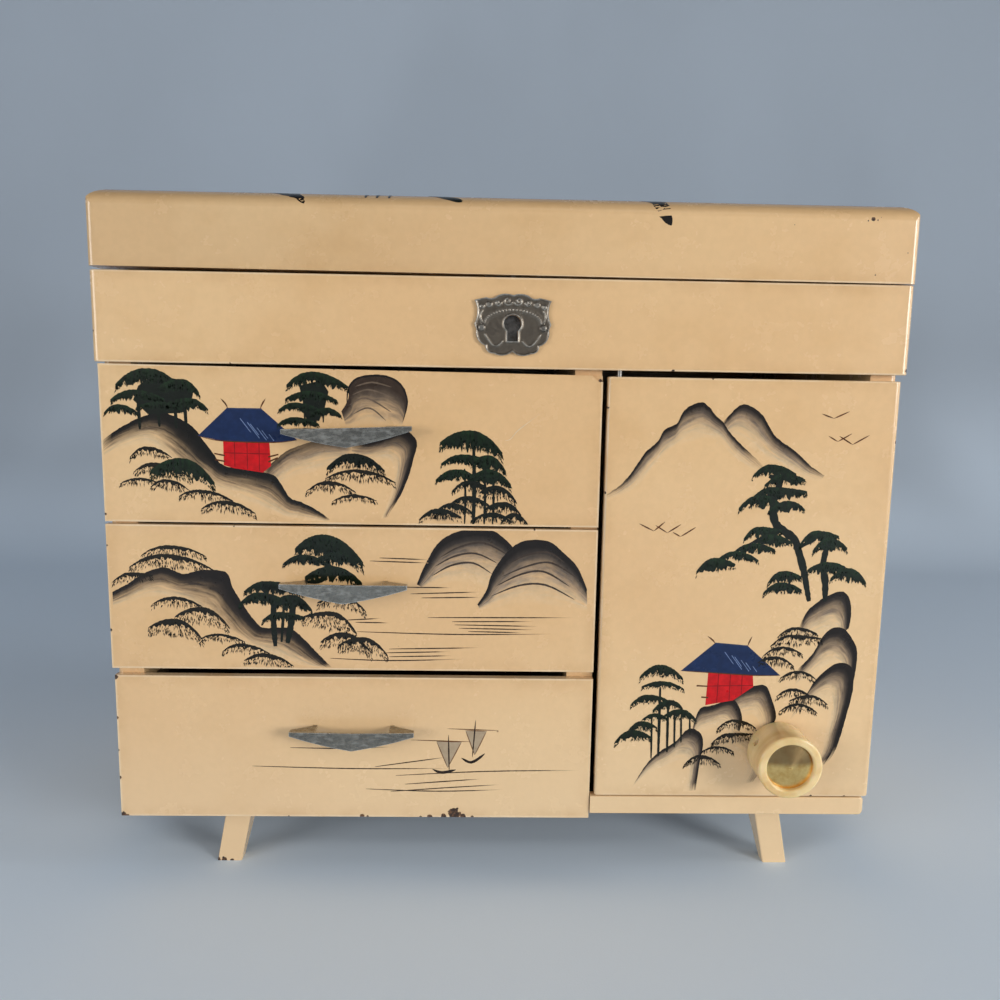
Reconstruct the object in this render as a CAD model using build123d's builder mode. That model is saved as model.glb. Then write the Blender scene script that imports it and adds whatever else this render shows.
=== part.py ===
from build123d import *
import os
from math import cos, radians, sin

os.makedirs("parts", exist_ok=True)

# A small lacquered chest: a hinged lid over a tray, three drawers on the left, a door on the right and
# four legs. Millimetres. +Z is up, the front faces -Y and +X is the viewer's right. The origin is on the
# ground, under the middle.

# ---- Driving dimensions -------------------------------------------------------------------------

# Heights above the ground, read up the front
case_bottom = 24.8
sill_top = 31.9
door_bottom = 32.3
door_top = 192.1
upper_bottom = 194.3
case_top = 226.1
lid_bottom_left = 227.4  # the lid sits a little high at its left end
lid_bottom_right = 226.5
lid_panel_bottom = 247.0
lid_top = 254.3

# Places across the front
half_width = 146.0
lid_half_width = 146.2
side_outer = 144.0
partition_left = 25.7
partition_right = 35.5
front_right = 35.5  # right edge of the drawer fronts
door_left = 37.4
door_right = 144.2
sill_left = 35.8
sill_right = 142.9

# Boards
case_depth = 150.0
front_thick = 4.0
front_gap = 0.1  # a drawer front or the door stops this far from the board edges behind it
board = 10.0
back_thick = 6.0
bottom_thick = 7.0
floor_bottom = 196.0
floor_thick = 5.0
lining_thick = 1.0
lining_play = 0.2
upper_thick = 10.0
edge_round = 1.0
corner_round = 2.2

# Each drawer: name, front's bottom, front's top at its left and right ends, left edge, box bottom and top
drawer_table = (
    ("drawer_top", 136.9, 193.7, 192.3, -144.5, 140.4, 189.0),
    ("drawer_middle", 81.4, 135.9, 135.9, -144.5, 84.9, 132.0),
    ("drawer_bottom", 22.6, 78.6, 78.6, -143.7, 32.0, 74.6),
)
drawer_wall = 5.0
drawer_floor = 3.0
drawer_play = 0.4  # to each side of a drawer box
drawer_back_play = 2.5
runner_wide = 6.0
runner_tall = 5.0
runner_play = 0.2
runner_set_back = 16.0
runner_end_gap = 2.0
# A corner broken off the top drawer's front, at its upper right: across, down and deep
broken_corner = (4.2, 2.3, 2.4)

# Drawer pulls: centre across the front, height of the top edge, tilt in degrees
pull_table = (
    ("drawer_top", -55.8, 172.6, 2.2),
    ("drawer_middle", -57.4, 115.8, 0.0),
    ("drawer_bottom", -54.8, 59.6, 0.0),
)
pull_half_length = 23.1
pull_tab_start = 13.7
pull_drop = 6.9
pull_end_drop = 1.6
pull_belly = (11.5, -4.7)  # a point on the pull's lower edge
pull_reach = 7.2
pull_end_reach = 6.4
pull_tip_depth = 2.6
pull_sheet = 0.8
prong_wide = 1.8
prong_deep = 3.0

# Door pivots and knob
pivot_x = 41.5
pivot_radius = 0.9
pivot_running = 0.05
pivot_in_door = 5.0
pivot_in_frame = 3.7
pivot_end_play = 0.3
knob_x = 107.0
knob_z = 51.2
knob_radius = 11.9
knob_back_radius = 11.6
knob_length = 15.5
knob_stand_off = 0.3
knob_recess_radius = 8.7
knob_recess = 2.2
insert_rim = 0.5
insert_cone = 1.7
knob_face_round = 0.9
knob_back_round = 0.6
knob_bore_depth = 11.0
spindle_radius = 3.0
spindle_running = 0.05
spindle_neck = 2.0
bush_radius = 4.0
bush_flange_radius = 6.0
bush_flange = 1.0
grub_angle = 151.0  # round the knob from the right, seen from the front
grub_from_door = 6.0
grub_radius = 1.5
grub_length = 5.0
grub_slot_deep = 0.8
grub_slot_wide = 0.6
tongue_reach = 21.5
tongue_wide = 7.0
tongue_thick = 1.4
tongue_back = 5.4  # from the front plane to the tongue's near face
tongue_slot_depth = 2.2
tongue_slot_play = 0.7
rivet = 0.8  # the spindle's end spreads this far over the tongue

# Lid hinges
hinge_x = 85.0
hinge_half = 12.0
knuckle_half = 4.0
knuckle_gap = 0.1
knuckle_radius = 1.6
hinge_axis_out = 1.8
hinge_axis_z = 226.9
leaf_thick = 0.8
leaf_clear = 1.9
leaf_tall = 13.0
hinge_pin_radius = 0.7
hinge_pin_running = 0.05
lid_open_angle = 100.0
mirror_half_width = 105.0
mirror_half_depth = 48.0
mirror_thick = 2.5
mirror_bevel = 1.2
lug_length = 4.0
lug_play = 0.15
hinge_screw_radius = 0.9
hinge_screw_head = 1.6
hinge_screw_head_tall = 0.6
hinge_screw_round = 0.36
hinge_screw_length = 5.0
hinge_screw_x = 8.0
hinge_screw_z = 8.0

# Lock, keyhole and escutcheon
lock_x = 2.5
key_z = 210.1
key_radius = 3.1
key_slot_half = 1.85
key_slot_bottom = 203.9
lock_half_width = 16.0
lock_bottom = 203.0
lock_wall = 1.0
lock_roof = 1.2
eye_half_thick = 0.7
eye_front = 5.5  # from the front plane
eye_back = 8.7
eye_bottom = 217.6
eye_leg = 0.6
strike_half_width = 10.0
strike_front = 4.8  # from the front plane
strike_back = 9.4
strike_thick = 1.2
lock_slot_play = 1.3
bolt_bottom = 219.0
bolt_top = 222.5
bolt_back_end = -9.0
bolt_tip = -1.0
bolt_front = 6.4
bolt_back = 7.8
bolt_arm_wide = 4.0
bolt_arm_clear = 0.5
escutcheon_thick = 1.1
escutcheon_drop = 0.65  # its middle is this far below the keyhole's
nail_radius = 1.3
nail_shank = 0.6
nail_length = 3.0
nail_head = 0.8
nail_head_round = 0.7
nail_half_span = 10.95
nail_middle = 2.4
nail_z = 208.5

# Legs
leg_inner_top = {"left": -95.3, "right": 102.0}
leg_splay = 5.2
leg_wide_top = 10.0
leg_wide_foot = 9.5
leg_deep_top = 16.0
leg_deep_foot = 5.5
leg_set_back = 8.0
leg_screw_radius = 1.4
leg_screw_head = 2.8
leg_screw_depth = 10.0

# ---- Worked out from these ----------------------------------------------------------------------

knob_reach = knob_stand_off + knob_length
lid_open = radians(lid_open_angle)
# from the pin's axis to the side of the lug that stops on the leaf
lug_near = hinge_axis_out - leaf_thick - lug_play
hinge_reach = hinge_axis_out + lug_length * sin(lid_open) - lug_near * cos(lid_open)
front_y = knob_reach - (knob_reach + case_depth + hinge_reach) / 2
back_y = front_y + case_depth
carcass_y = front_y + front_thick
inner_back_y = back_y - back_thick
upper_back_y = front_y + upper_thick
door_back_y = carcass_y - front_gap
side_inner = side_outer - board
floor_top = floor_bottom + floor_thick
bottom_top = case_bottom + bottom_thick
hinge_axis_y = back_y + hinge_axis_out
lid_front_y = front_y - (lid_half_width - half_width)
key_centre = (lock_x, key_z)
pivot_y = front_y + (front_thick - front_gap) / 2


def save(piece, label):
    """Name a finished piece and write it."""
    piece.part.label = label
    export_step(piece.part, f"parts/{label}.step")


def block(x, y, z, mode=Mode.ADD):
    """A rectangular block between pairs of coordinates, in the part being built."""
    with Locations(((x[0] + x[1]) / 2, (y[0] + y[1]) / 2, (z[0] + z[1]) / 2)):
        Box(x[1] - x[0], y[1] - y[0], z[1] - z[0], mode=mode)


def rod(radius, x, y, z, mode=Mode.ADD):
    """A round rod along the one axis whose two coordinates differ."""
    low = (x[0], y[0], z[0])
    span = (x[1] - x[0], y[1] - y[0], z[1] - z[0])
    with BuildSketch(Plane(origin=low, z_dir=span), mode=Mode.PRIVATE) as section:
        Circle(radius)
    extrude(section.sketch, amount=sum(span), mode=mode)


def rod_y(radius, x, y, z, mode=Mode.ADD):
    """A round rod along Y, at one place in x and z."""
    rod(radius, (x, x), y, (z, z), mode=mode)


def pivot_rod(radius, low, high, mode=Mode.ADD):
    """A round rod along the door's pivot line."""
    rod(radius, (pivot_x, pivot_x), (pivot_y, pivot_y), (low, high), mode=mode)


def along_y(sketch, start, end, mode=Mode.ADD):
    """A front-view sketch, drawn in x and z on the front plane, as a solid from start to end along +Y."""
    extrude(sketch.moved(Location((0, start - front_y, 0))), amount=-(end - start), mode=mode)


front_plane = Plane(origin=(0, front_y, 0), x_dir=(1, 0, 0), z_dir=(0, -1, 0))

# The keyhole's outline: a round hole over a narrower slot
with BuildSketch(front_plane) as keyhole:
    with Locations(key_centre):
        Circle(key_radius)
    with Locations((lock_x, (key_slot_bottom + key_z) / 2)):
        Rectangle(2 * key_slot_half, key_z - key_slot_bottom)

# ---- Case boards --------------------------------------------------------------------------------

for side, sign in (("left", -1), ("right", 1)):
    with BuildPart() as side_board:
        block(sorted((sign * side_inner, sign * side_outer)), (carcass_y, back_y), (case_bottom, case_top))
        outer = side_board.faces().sort_by(Axis.X)[0 if sign < 0 else -1]
        fillet(outer.edges().filter_by(Axis.Z), corner_round)
    save(side_board, f"side_{side}")

hinge_spots = [(sign * hinge_x + offset) for sign in (-1, 1) for offset in (-hinge_screw_x, hinge_screw_x)]
case_screw_z = hinge_axis_z - hinge_screw_z
lid_screw_z = hinge_axis_z + hinge_screw_z
hinge_screw_tip = back_y + leaf_thick - hinge_screw_length
nail_spots = [nail_middle + sign * nail_half_span for sign in (-1, 1)]

with BuildPart() as back_panel:
    block((-side_inner, side_inner), (inner_back_y, back_y), (case_bottom, case_top))
    for spot in hinge_spots:
        rod_y(hinge_screw_radius, spot, (hinge_screw_tip, back_y), case_screw_z, mode=Mode.SUBTRACT)
save(back_panel, "back_panel")


def leg_screw_spots():
    """The four places, seen from above, where a leg is screwed to the bottom board."""
    for side, outward in (("left", -1), ("right", 1)):
        for row_y in (front_y + leg_set_back + leg_deep_top / 2, back_y - leg_set_back - leg_deep_top / 2):
            yield (leg_inner_top[side] + outward * (leg_wide_top / 2 + 1.0), row_y)


def leg_screw_shape(spot, mode=Mode.ADD):
    """A countersunk screw standing head up, flush with the top of the bottom board."""
    with BuildSketch(Plane(origin=(*spot, 0), x_dir=(1, 0, 0), z_dir=(0, -1, 0)), mode=Mode.PRIVATE) as half:
        with BuildLine():
            Polyline(
                (0, bottom_top),
                (leg_screw_head, bottom_top),
                (leg_screw_radius, bottom_top - leg_screw_head + leg_screw_radius),
                (leg_screw_radius, case_bottom - leg_screw_depth),
                (0, case_bottom - leg_screw_depth),
                close=True,
            )
        make_face()
    revolve(half.sketch, axis=Axis((*spot, 0), (0, 0, 1)), mode=mode)


with BuildPart() as bottom_board:
    block((-side_inner, side_inner), (carcass_y, inner_back_y), (case_bottom, bottom_top))
    slot_x = (knob_x - tongue_wide / 2 - tongue_slot_play, knob_x + tongue_reach / 2)
    slot_y = (carcass_y, front_y + tongue_back + tongue_thick + tongue_slot_play)
    block(slot_x, slot_y, (bottom_top - tongue_slot_depth, bottom_top), mode=Mode.SUBTRACT)
    for spot in leg_screw_spots():
        leg_screw_shape(spot, mode=Mode.SUBTRACT)
save(bottom_board, "bottom_board")

with BuildPart() as partition:
    block((partition_left, partition_right), (carcass_y, inner_back_y), (bottom_top, floor_bottom))
save(partition, "partition")

with BuildPart() as tray_floor:
    block((-side_inner, side_inner), (upper_back_y, inner_back_y), (floor_bottom, floor_top))
save(tray_floor, "tray_floor")

with BuildPart() as tray_lining:
    block(
        (-side_inner + lining_play, side_inner - lining_play),
        (upper_back_y + lining_play, inner_back_y - lining_play),
        (floor_top, floor_top + lining_thick),
    )
save(tray_lining, "tray_lining")

with BuildPart() as drawer_runners:
    for name, *_, box_bottom, box_top in drawer_table[:2]:
        for low in (-side_inner, partition_left - runner_wide):
            runner_top = box_bottom - runner_play
            block(
                (low, low + runner_wide),
                (front_y + runner_set_back, inner_back_y - runner_end_gap),
                (runner_top - runner_tall, runner_top),
            )
save(drawer_runners, "drawer_runners")

# The upper front laps over the edges of the sides and holds the lock in a pocket behind the keyhole
with BuildPart() as upper_front:
    block((-half_width, half_width), (front_y, carcass_y), (upper_bottom, case_top))
    fillet(upper_front.faces().sort_by(Axis.Y)[0].edges().filter_by(Axis.Z), corner_round)
    fillet(upper_front.faces().sort_by(Axis.Y)[0].edges().filter_by(Axis.X), edge_round / 2)
    block((-side_inner, side_inner), (carcass_y, upper_back_y), (floor_bottom, case_top))
    block(
        (lock_x - lock_half_width, lock_x + lock_half_width),
        (carcass_y, upper_back_y),
        (lock_bottom, case_top),
        mode=Mode.SUBTRACT,
    )
    along_y(keyhole.sketch, front_y, carcass_y, mode=Mode.SUBTRACT)
    pivot_rod(
        pivot_radius + pivot_running,
        upper_bottom,
        upper_bottom + pivot_in_frame + pivot_end_play,
        mode=Mode.SUBTRACT,
    )
    for spot in nail_spots:
        rod_y(nail_shank, spot, (front_y, front_y + nail_length), nail_z, mode=Mode.SUBTRACT)
save(upper_front, "upper_front")

with BuildPart() as sill_strip:
    block((sill_left, sill_right), (front_y, carcass_y), (case_bottom, sill_top))
    fillet(sill_strip.faces().sort_by(Axis.Y)[0].edges().filter_by(Axis.X), edge_round / 2)
    fillet(sill_strip.faces().sort_by(Axis.X)[-1].edges().filter_by(Axis.Z).sort_by(Axis.Y)[0], corner_round)
    pivot_rod(pivot_radius + pivot_running, sill_top - pivot_in_frame, sill_top, mode=Mode.SUBTRACT)
save(sill_strip, "sill_strip")

# ---- Legs ---------------------------------------------------------------------------------------

# Each leg leans outward, and its inner edge, seen from the side, slants to a narrow foot
for side, outward in (("left", -1), ("right", 1)):
    for row, face_y, inward in (("front", front_y + leg_set_back, 1), ("rear", back_y - leg_set_back, -1)):
        inner = leg_inner_top[side]
        with BuildPart() as leg:
            with BuildSketch(Plane(origin=(0, face_y, 0), x_dir=(1, 0, 0), z_dir=(0, -1, 0))):
                with BuildLine():
                    Polyline(
                        (inner, case_bottom),
                        (inner + outward * leg_wide_top, case_bottom),
                        (inner + outward * (leg_splay + leg_wide_foot), 0),
                        (inner + outward * leg_splay, 0),
                        close=True,
                    )
                make_face()
            extrude(amount=-inward * leg_deep_top)
            with BuildSketch(Plane.YZ.offset(inner - outward * 5)):
                with BuildLine():
                    Polyline(
                        (face_y, case_bottom),
                        (face_y + inward * leg_deep_top, case_bottom),
                        (face_y + inward * leg_deep_foot, 0),
                        (face_y, 0),
                        close=True,
                    )
                make_face()
            extrude(amount=outward * 40, mode=Mode.INTERSECT)
            long_edges = leg.edges().filter_by(lambda edge: edge.length > case_bottom)
            fillet(long_edges, edge_round / 2)
            for spot in leg_screw_spots():
                leg_screw_shape(spot, mode=Mode.SUBTRACT)
        save(leg, f"leg_{row}_{side}")

with BuildPart() as leg_screws:
    for spot in leg_screw_spots():
        leg_screw_shape(spot)
save(leg_screws, "leg_screws")

# ---- Lid ----------------------------------------------------------------------------------------


def lid_underside(x):
    """Height of the lid's lower edge, which slants a little across the front."""
    share = (x + lid_half_width) / (2 * lid_half_width)
    return lid_bottom_left + share * (lid_bottom_right - lid_bottom_left)


def lid_rail(x, y):
    """A lid rail between pairs of coordinates, with the slanting underside."""
    with BuildSketch(front_plane) as outline:
        with BuildLine():
            Polyline(
                (x[0], lid_underside(x[0])),
                (x[1], lid_underside(x[1])),
                (x[1], lid_panel_bottom),
                (x[0], lid_panel_bottom),
                close=True,
            )
        make_face()
    along_y(outline.sketch, y[0], y[1])


strike_x = (lock_x - strike_half_width, lock_x + strike_half_width)
strike_y = (front_y + strike_front, front_y + strike_back)
strike_z = (lid_underside(lock_x), lid_underside(lock_x) + strike_thick)

with BuildPart() as lid_front_rail:
    lid_rail((-lid_half_width, lid_half_width), (lid_front_y, lid_front_y + board))
    fillet(lid_front_rail.faces().sort_by(Axis.Y)[0].edges().filter_by(Axis.Z), corner_round)
    block(strike_x, strike_y, (case_top, strike_z[1]), mode=Mode.SUBTRACT)
save(lid_front_rail, "lid_front_rail")

with BuildPart() as lid_back_rail:
    lid_rail((-lid_half_width, lid_half_width), (back_y - board, back_y))
    fillet(lid_back_rail.faces().sort_by(Axis.Y)[-1].edges().filter_by(Axis.Z), corner_round)
    for spot in hinge_spots:
        rod_y(hinge_screw_radius, spot, (hinge_screw_tip, back_y), lid_screw_z, mode=Mode.SUBTRACT)
save(lid_back_rail, "lid_back_rail")

for side, sign in (("left", -1), ("right", 1)):
    with BuildPart() as lid_side_rail:
        across = sorted((sign * (lid_half_width - board), sign * lid_half_width))
        lid_rail(across, (lid_front_y + board, back_y - board))
    save(lid_side_rail, f"lid_{side}_rail")

# The top panel's upper edges are rounded wide and low, like a quarter of an ellipse
round_across = 9.0
round_down = 6.0


def pillow(plane, low, high):
    """A board's section with its two upper corners rounded, between two places along the section."""
    shoulder = lid_top - round_down
    with BuildSketch(plane) as section:
        with BuildLine():
            Line((low, lid_panel_bottom), (high, lid_panel_bottom))
            Line((high, lid_panel_bottom), (high, shoulder))
            EllipticalCenterArc((high - round_across, shoulder), round_across, round_down, start_angle=0)
            Line((high - round_across, lid_top), (low + round_across, lid_top))
            EllipticalCenterArc((low + round_across, shoulder), round_across, round_down, start_angle=90)
            Line((low, shoulder), (low, lid_panel_bottom))
        make_face()
    return section.sketch


lid_middle_y = (lid_front_y + back_y) / 2
with BuildPart() as lid_panel:
    with BuildSketch(Plane.XY.offset(lid_panel_bottom)):
        with Locations((0, lid_middle_y)):
            RectangleRounded(2 * lid_half_width, back_y - lid_front_y, corner_round)
    extrude(amount=lid_top - lid_panel_bottom)
    back_plane = front_plane.offset(front_y - back_y)
    across = pillow(back_plane, -lid_half_width, lid_half_width)
    extrude(across, amount=back_y - lid_front_y, mode=Mode.INTERSECT)
    deep = pillow(Plane.YZ.offset(-lid_half_width), lid_front_y, back_y)
    extrude(deep, amount=2 * lid_half_width, mode=Mode.INTERSECT)
save(lid_panel, "lid_panel")

with BuildPart() as lid_mirror:
    block(
        (-mirror_half_width, mirror_half_width),
        (lid_middle_y - mirror_half_depth, lid_middle_y + mirror_half_depth),
        (lid_panel_bottom - mirror_thick, lid_panel_bottom),
    )
    chamfer(lid_mirror.faces().sort_by(Axis.Z)[0].edges(), mirror_bevel)
save(lid_mirror, "lid_mirror")

# ---- Lid hinges ---------------------------------------------------------------------------------

pin_line = ((hinge_axis_y, hinge_axis_y), (hinge_axis_z, hinge_axis_z))
leaf_y = (back_y, back_y + leaf_thick)

with BuildPart() as hinge_case_leaves:
    for middle in (-hinge_x, hinge_x):
        plate_top = hinge_axis_z - leaf_clear
        block((middle - hinge_half, middle + hinge_half), leaf_y, (hinge_axis_z - leaf_tall, plate_top))
        for sign in (-1, 1):
            span = sorted((middle + sign * (knuckle_half + knuckle_gap), middle + sign * hinge_half))
            block(span, leaf_y, (plate_top, hinge_axis_z))
            rod(knuckle_radius, span, *pin_line)
            rod(hinge_pin_radius, span, *pin_line, mode=Mode.SUBTRACT)
    for spot in hinge_spots:
        rod_y(hinge_screw_radius, spot, leaf_y, case_screw_z, mode=Mode.SUBTRACT)
save(hinge_case_leaves, "hinge_case_leaves")

# The lid leaf's middle knuckle carries a lug that meets the case leaf when the lid is fully open
with BuildPart() as hinge_lid_leaves:
    for middle in (-hinge_x, hinge_x):
        span = (middle - knuckle_half, middle + knuckle_half)
        plate_bottom = hinge_axis_z + leaf_clear
        block((middle - hinge_half, middle + hinge_half), leaf_y, (plate_bottom, hinge_axis_z + leaf_tall))
        block(span, leaf_y, (hinge_axis_z, plate_bottom))
        rod(knuckle_radius, span, *pin_line)
        lug = Box(2 * knuckle_half - 2, leaf_thick, lug_length, mode=Mode.PRIVATE)
        lug = Pos(middle, leaf_thick / 2 - lug_near, -lug_length / 2) * lug
        add(Pos(0, hinge_axis_y, hinge_axis_z) * Rot(lid_open_angle, 0, 0) * lug)
        rod(hinge_pin_radius + hinge_pin_running, span, *pin_line, mode=Mode.SUBTRACT)
    for spot in hinge_spots:
        rod_y(hinge_screw_radius, spot, leaf_y, lid_screw_z, mode=Mode.SUBTRACT)
save(hinge_lid_leaves, "hinge_lid_leaves")

with BuildPart() as hinge_pins:
    for middle in (-hinge_x, hinge_x):
        rod(hinge_pin_radius, (middle - hinge_half, middle + hinge_half), *pin_line)
save(hinge_pins, "hinge_pins")

for label, screw_z in (("hinge_case_screws", case_screw_z), ("hinge_lid_screws", lid_screw_z)):
    with BuildPart() as screws:
        for spot in hinge_spots:
            head_y = back_y + leaf_thick
            rod_y(hinge_screw_radius, spot, (hinge_screw_tip, head_y), screw_z)
            rod_y(hinge_screw_head, spot, (head_y, head_y + hinge_screw_head_tall), screw_z)
        fillet(screws.faces().filter_by(Axis.Y).group_by(Axis.Y)[-1].edges(), hinge_screw_round)
    save(screws, label)

# ---- Lock ---------------------------------------------------------------------------------------

lock_x_span = (lock_x - lock_half_width, lock_x + lock_half_width)
with BuildPart() as lock_case:
    block(lock_x_span, (carcass_y, upper_back_y), (lock_bottom, case_top))
    block(
        (lock_x_span[0] + lock_wall, lock_x_span[1] - lock_wall),
        (carcass_y + lock_wall, upper_back_y - lock_wall),
        (lock_bottom + lock_wall, case_top - lock_roof),
        mode=Mode.SUBTRACT,
    )
    block(
        (lock_x - eye_half_thick - lock_slot_play, lock_x + eye_half_thick + lock_slot_play),
        (carcass_y + lock_wall, upper_back_y - lock_wall),
        (case_top - lock_roof, case_top),
        mode=Mode.SUBTRACT,
    )
    along_y(keyhole.sketch, carcass_y, carcass_y + lock_wall, mode=Mode.SUBTRACT)
save(lock_case, "lock_case")

with BuildPart() as lock_strike:
    block(strike_x, strike_y, strike_z)
    block(
        (lock_x - eye_half_thick, lock_x + eye_half_thick),
        (front_y + eye_front, front_y + eye_back),
        (eye_bottom, strike_z[0]),
    )
    block(
        (lock_x - eye_half_thick, lock_x + eye_half_thick),
        (front_y + eye_front + eye_leg, front_y + eye_back - eye_leg),
        (eye_bottom + eye_leg + 0.2, bolt_top + 0.8),
        mode=Mode.SUBTRACT,
    )
save(lock_strike, "lock_strike")

# The bolt has an arm that hangs down beside the keyhole, where the key pushes it
with BuildPart() as lock_bolt:
    bolt_y = (front_y + bolt_front, front_y + bolt_back)
    block((bolt_back_end, bolt_tip), bolt_y, (bolt_bottom, bolt_top))
    arm_bottom = key_z + key_radius + bolt_arm_clear
    block((bolt_back_end, bolt_back_end + bolt_arm_wide), bolt_y, (arm_bottom, bolt_bottom))
save(lock_bolt, "lock_bolt")

# The escutcheon: a stamped plate, wavy along its top, waisted at its sides and lobed below
outline_half = (
    (0.0, 10.4),
    (2.6, 10.9),
    (5.6, 10.2),
    (7.2, 9.3),
    (9.4, 9.6),
    (13.6, 8.6),
    (12.6, 4.2),
    (13.7, 0.4),
    (12.9, -1.6),
    (12.6, -4.6),
    (9.6, -7.2),
    (6.6, -9.9),
    (3.2, -10.6),
    (0.0, -9.2),
)
with BuildPart() as escutcheon:
    plate_centre = (lock_x, front_y, key_z - escutcheon_drop)
    with BuildSketch(Plane(origin=plate_centre, x_dir=(1, 0, 0), z_dir=(0, -1, 0))):
        with BuildLine():
            top_scroll = ThreePointArc(outline_half[0], outline_half[1], outline_half[2])
            top_dip = ThreePointArc(top_scroll @ 1, outline_half[3], outline_half[4])
            shoulder = Line(top_dip @ 1, outline_half[5])
            waist = ThreePointArc(shoulder @ 1, outline_half[6], outline_half[7])
            ear = Line(waist @ 1, outline_half[8])
            hip = ThreePointArc(ear @ 1, outline_half[9], outline_half[10])
            lobe = ThreePointArc(hip @ 1, (9.0, -9.0), outline_half[11])
            foot = ThreePointArc(lobe @ 1, outline_half[12], outline_half[13])
            mirror(about=Plane.YZ)
        make_face()
    extrude(amount=escutcheon_thick)
    along_y(keyhole.sketch, front_y - escutcheon_thick, front_y, mode=Mode.SUBTRACT)
    for spot in nail_spots:
        rod_y(nail_shank, spot, (front_y - escutcheon_thick, front_y), nail_z, mode=Mode.SUBTRACT)
save(escutcheon, "escutcheon")

with BuildPart() as escutcheon_nails:
    nail_face = front_y - escutcheon_thick
    for spot in nail_spots:
        rod_y(nail_shank, spot, (nail_face, front_y + nail_length), nail_z)
        rod_y(nail_radius, spot, (nail_face - nail_head, nail_face), nail_z)
    fillet(escutcheon_nails.faces().filter_by(Axis.Y).group_by(Axis.Y)[0].edges(), nail_head_round)
save(escutcheon_nails, "escutcheon_nails")

# ---- Drawers ------------------------------------------------------------------------------------

box_left = -side_inner + drawer_play
box_right = partition_left - drawer_play
box_back = inner_back_y - drawer_back_play

for drawer_row, pull_row in zip(drawer_table, pull_table):
    name, front_bottom, top_left, top_right, front_left, box_bottom, box_top = drawer_row
    _, pull_x, pull_z, tilt = pull_row
    along_pull = (cos(radians(tilt)), 0, sin(radians(tilt)))
    pull_plane = Plane(origin=(pull_x, front_y, pull_z), x_dir=along_pull, z_dir=(0, -1, 0))
    tab_plane = Plane(origin=pull_plane.origin, x_dir=pull_plane.x_dir, z_dir=pull_plane.y_dir)
    prong_spots = [(sign * (pull_tab_start + prong_wide / 2), prong_deep / 2) for sign in (-1, 1)]

    # The pull, folded from sheet: a creased blade in front, and two tabs that reach back to the drawer
    with BuildPart() as pull:
        with BuildSketch(tab_plane):
            with BuildLine():
                Polyline(
                    (-pull_half_length, -pull_end_reach),
                    (0, -pull_reach),
                    (pull_half_length, -pull_end_reach),
                    (pull_half_length, -pull_end_reach + pull_sheet),
                    (0, -pull_reach + pull_sheet),
                    (-pull_half_length, -pull_end_reach + pull_sheet),
                    close=True,
                )
            make_face()
        extrude(amount=-pull_drop)
        with BuildSketch(pull_plane):
            with BuildLine():
                Polyline((-pull_half_length, -pull_end_drop), (-pull_half_length, 0), (pull_half_length, 0))
                Line((pull_half_length, 0), (pull_half_length, -pull_end_drop))
                ThreePointArc((pull_half_length, -pull_end_drop), pull_belly, (0, -pull_drop))
                left_belly = (-pull_belly[0], pull_belly[1])
                ThreePointArc((0, -pull_drop), left_belly, (-pull_half_length, -pull_end_drop))
            make_face()
        extrude(amount=pull_reach + 1, mode=Mode.INTERSECT)
        with BuildSketch(tab_plane):
            for sign in (-1, 1):
                with BuildLine():
                    Polyline(
                        (sign * pull_half_length, -pull_end_reach),
                        (sign * pull_tab_start, -pull_end_reach - 0.3),
                        (sign * pull_tab_start, 0),
                        (sign * (pull_tab_start + prong_wide), 0),
                        (sign * pull_half_length, pull_tip_depth - pull_end_reach),
                        close=True,
                    )
                make_face()
        extrude(amount=-pull_sheet)
        with BuildSketch(tab_plane):
            with Locations(*prong_spots):
                Rectangle(prong_wide, prong_deep)
        extrude(amount=-pull_sheet)
    save(pull, f"{name}_pull")

    with BuildPart() as drawer_front:
        with BuildSketch(front_plane) as outline:
            with BuildLine():
                Polyline(
                    (front_left, front_bottom),
                    (front_right, front_bottom),
                    (front_right, top_right),
                    (front_left, top_left),
                    close=True,
                )
            make_face()
        along_y(outline.sketch, front_y, door_back_y)
        fillet(drawer_front.faces().sort_by(Axis.Y)[0].edges(), edge_round)
        if name == "drawer_top":
            with BuildSketch(front_plane) as chip:
                with BuildLine():
                    Polyline(
                        (front_right + 1, top_right + 1),
                        (front_right - broken_corner[0], top_right + 1),
                        (front_right - broken_corner[0], top_right + 0.1),
                        (front_right - broken_corner[0] * 0.35, top_right - broken_corner[1] * 0.9),
                        (front_right + 1, top_right - broken_corner[1]),
                        close=True,
                    )
                make_face()
            along_y(chip.sketch, front_y - 1, front_y + broken_corner[2], mode=Mode.SUBTRACT)
        with BuildSketch(tab_plane):
            with Locations(*prong_spots):
                Rectangle(prong_wide, prong_deep)
        extrude(amount=-pull_sheet, mode=Mode.SUBTRACT)
    save(drawer_front, f"{name}_front")

    for side, edge in (("left", box_left), ("right", box_right - drawer_wall)):
        with BuildPart() as drawer_side:
            block((edge, edge + drawer_wall), (door_back_y, box_back), (box_bottom, box_top))
        save(drawer_side, f"{name}_side_{side}")

    inside_x = (box_left + drawer_wall, box_right - drawer_wall)
    with BuildPart() as drawer_back:
        block(inside_x, (box_back - drawer_wall, box_back), (box_bottom, box_top))
    save(drawer_back, f"{name}_back")

    with BuildPart() as drawer_base:
        block(inside_x, (door_back_y, box_back - drawer_wall), (box_bottom, box_bottom + drawer_floor))
    save(drawer_base, f"{name}_base")

    with BuildPart() as drawer_lining:
        lining_bottom = box_bottom + drawer_floor
        block(inside_x, (door_back_y, box_back - drawer_wall), (lining_bottom, lining_bottom + lining_thick))
    save(drawer_lining, f"{name}_lining")

# ---- Door ---------------------------------------------------------------------------------------

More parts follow.
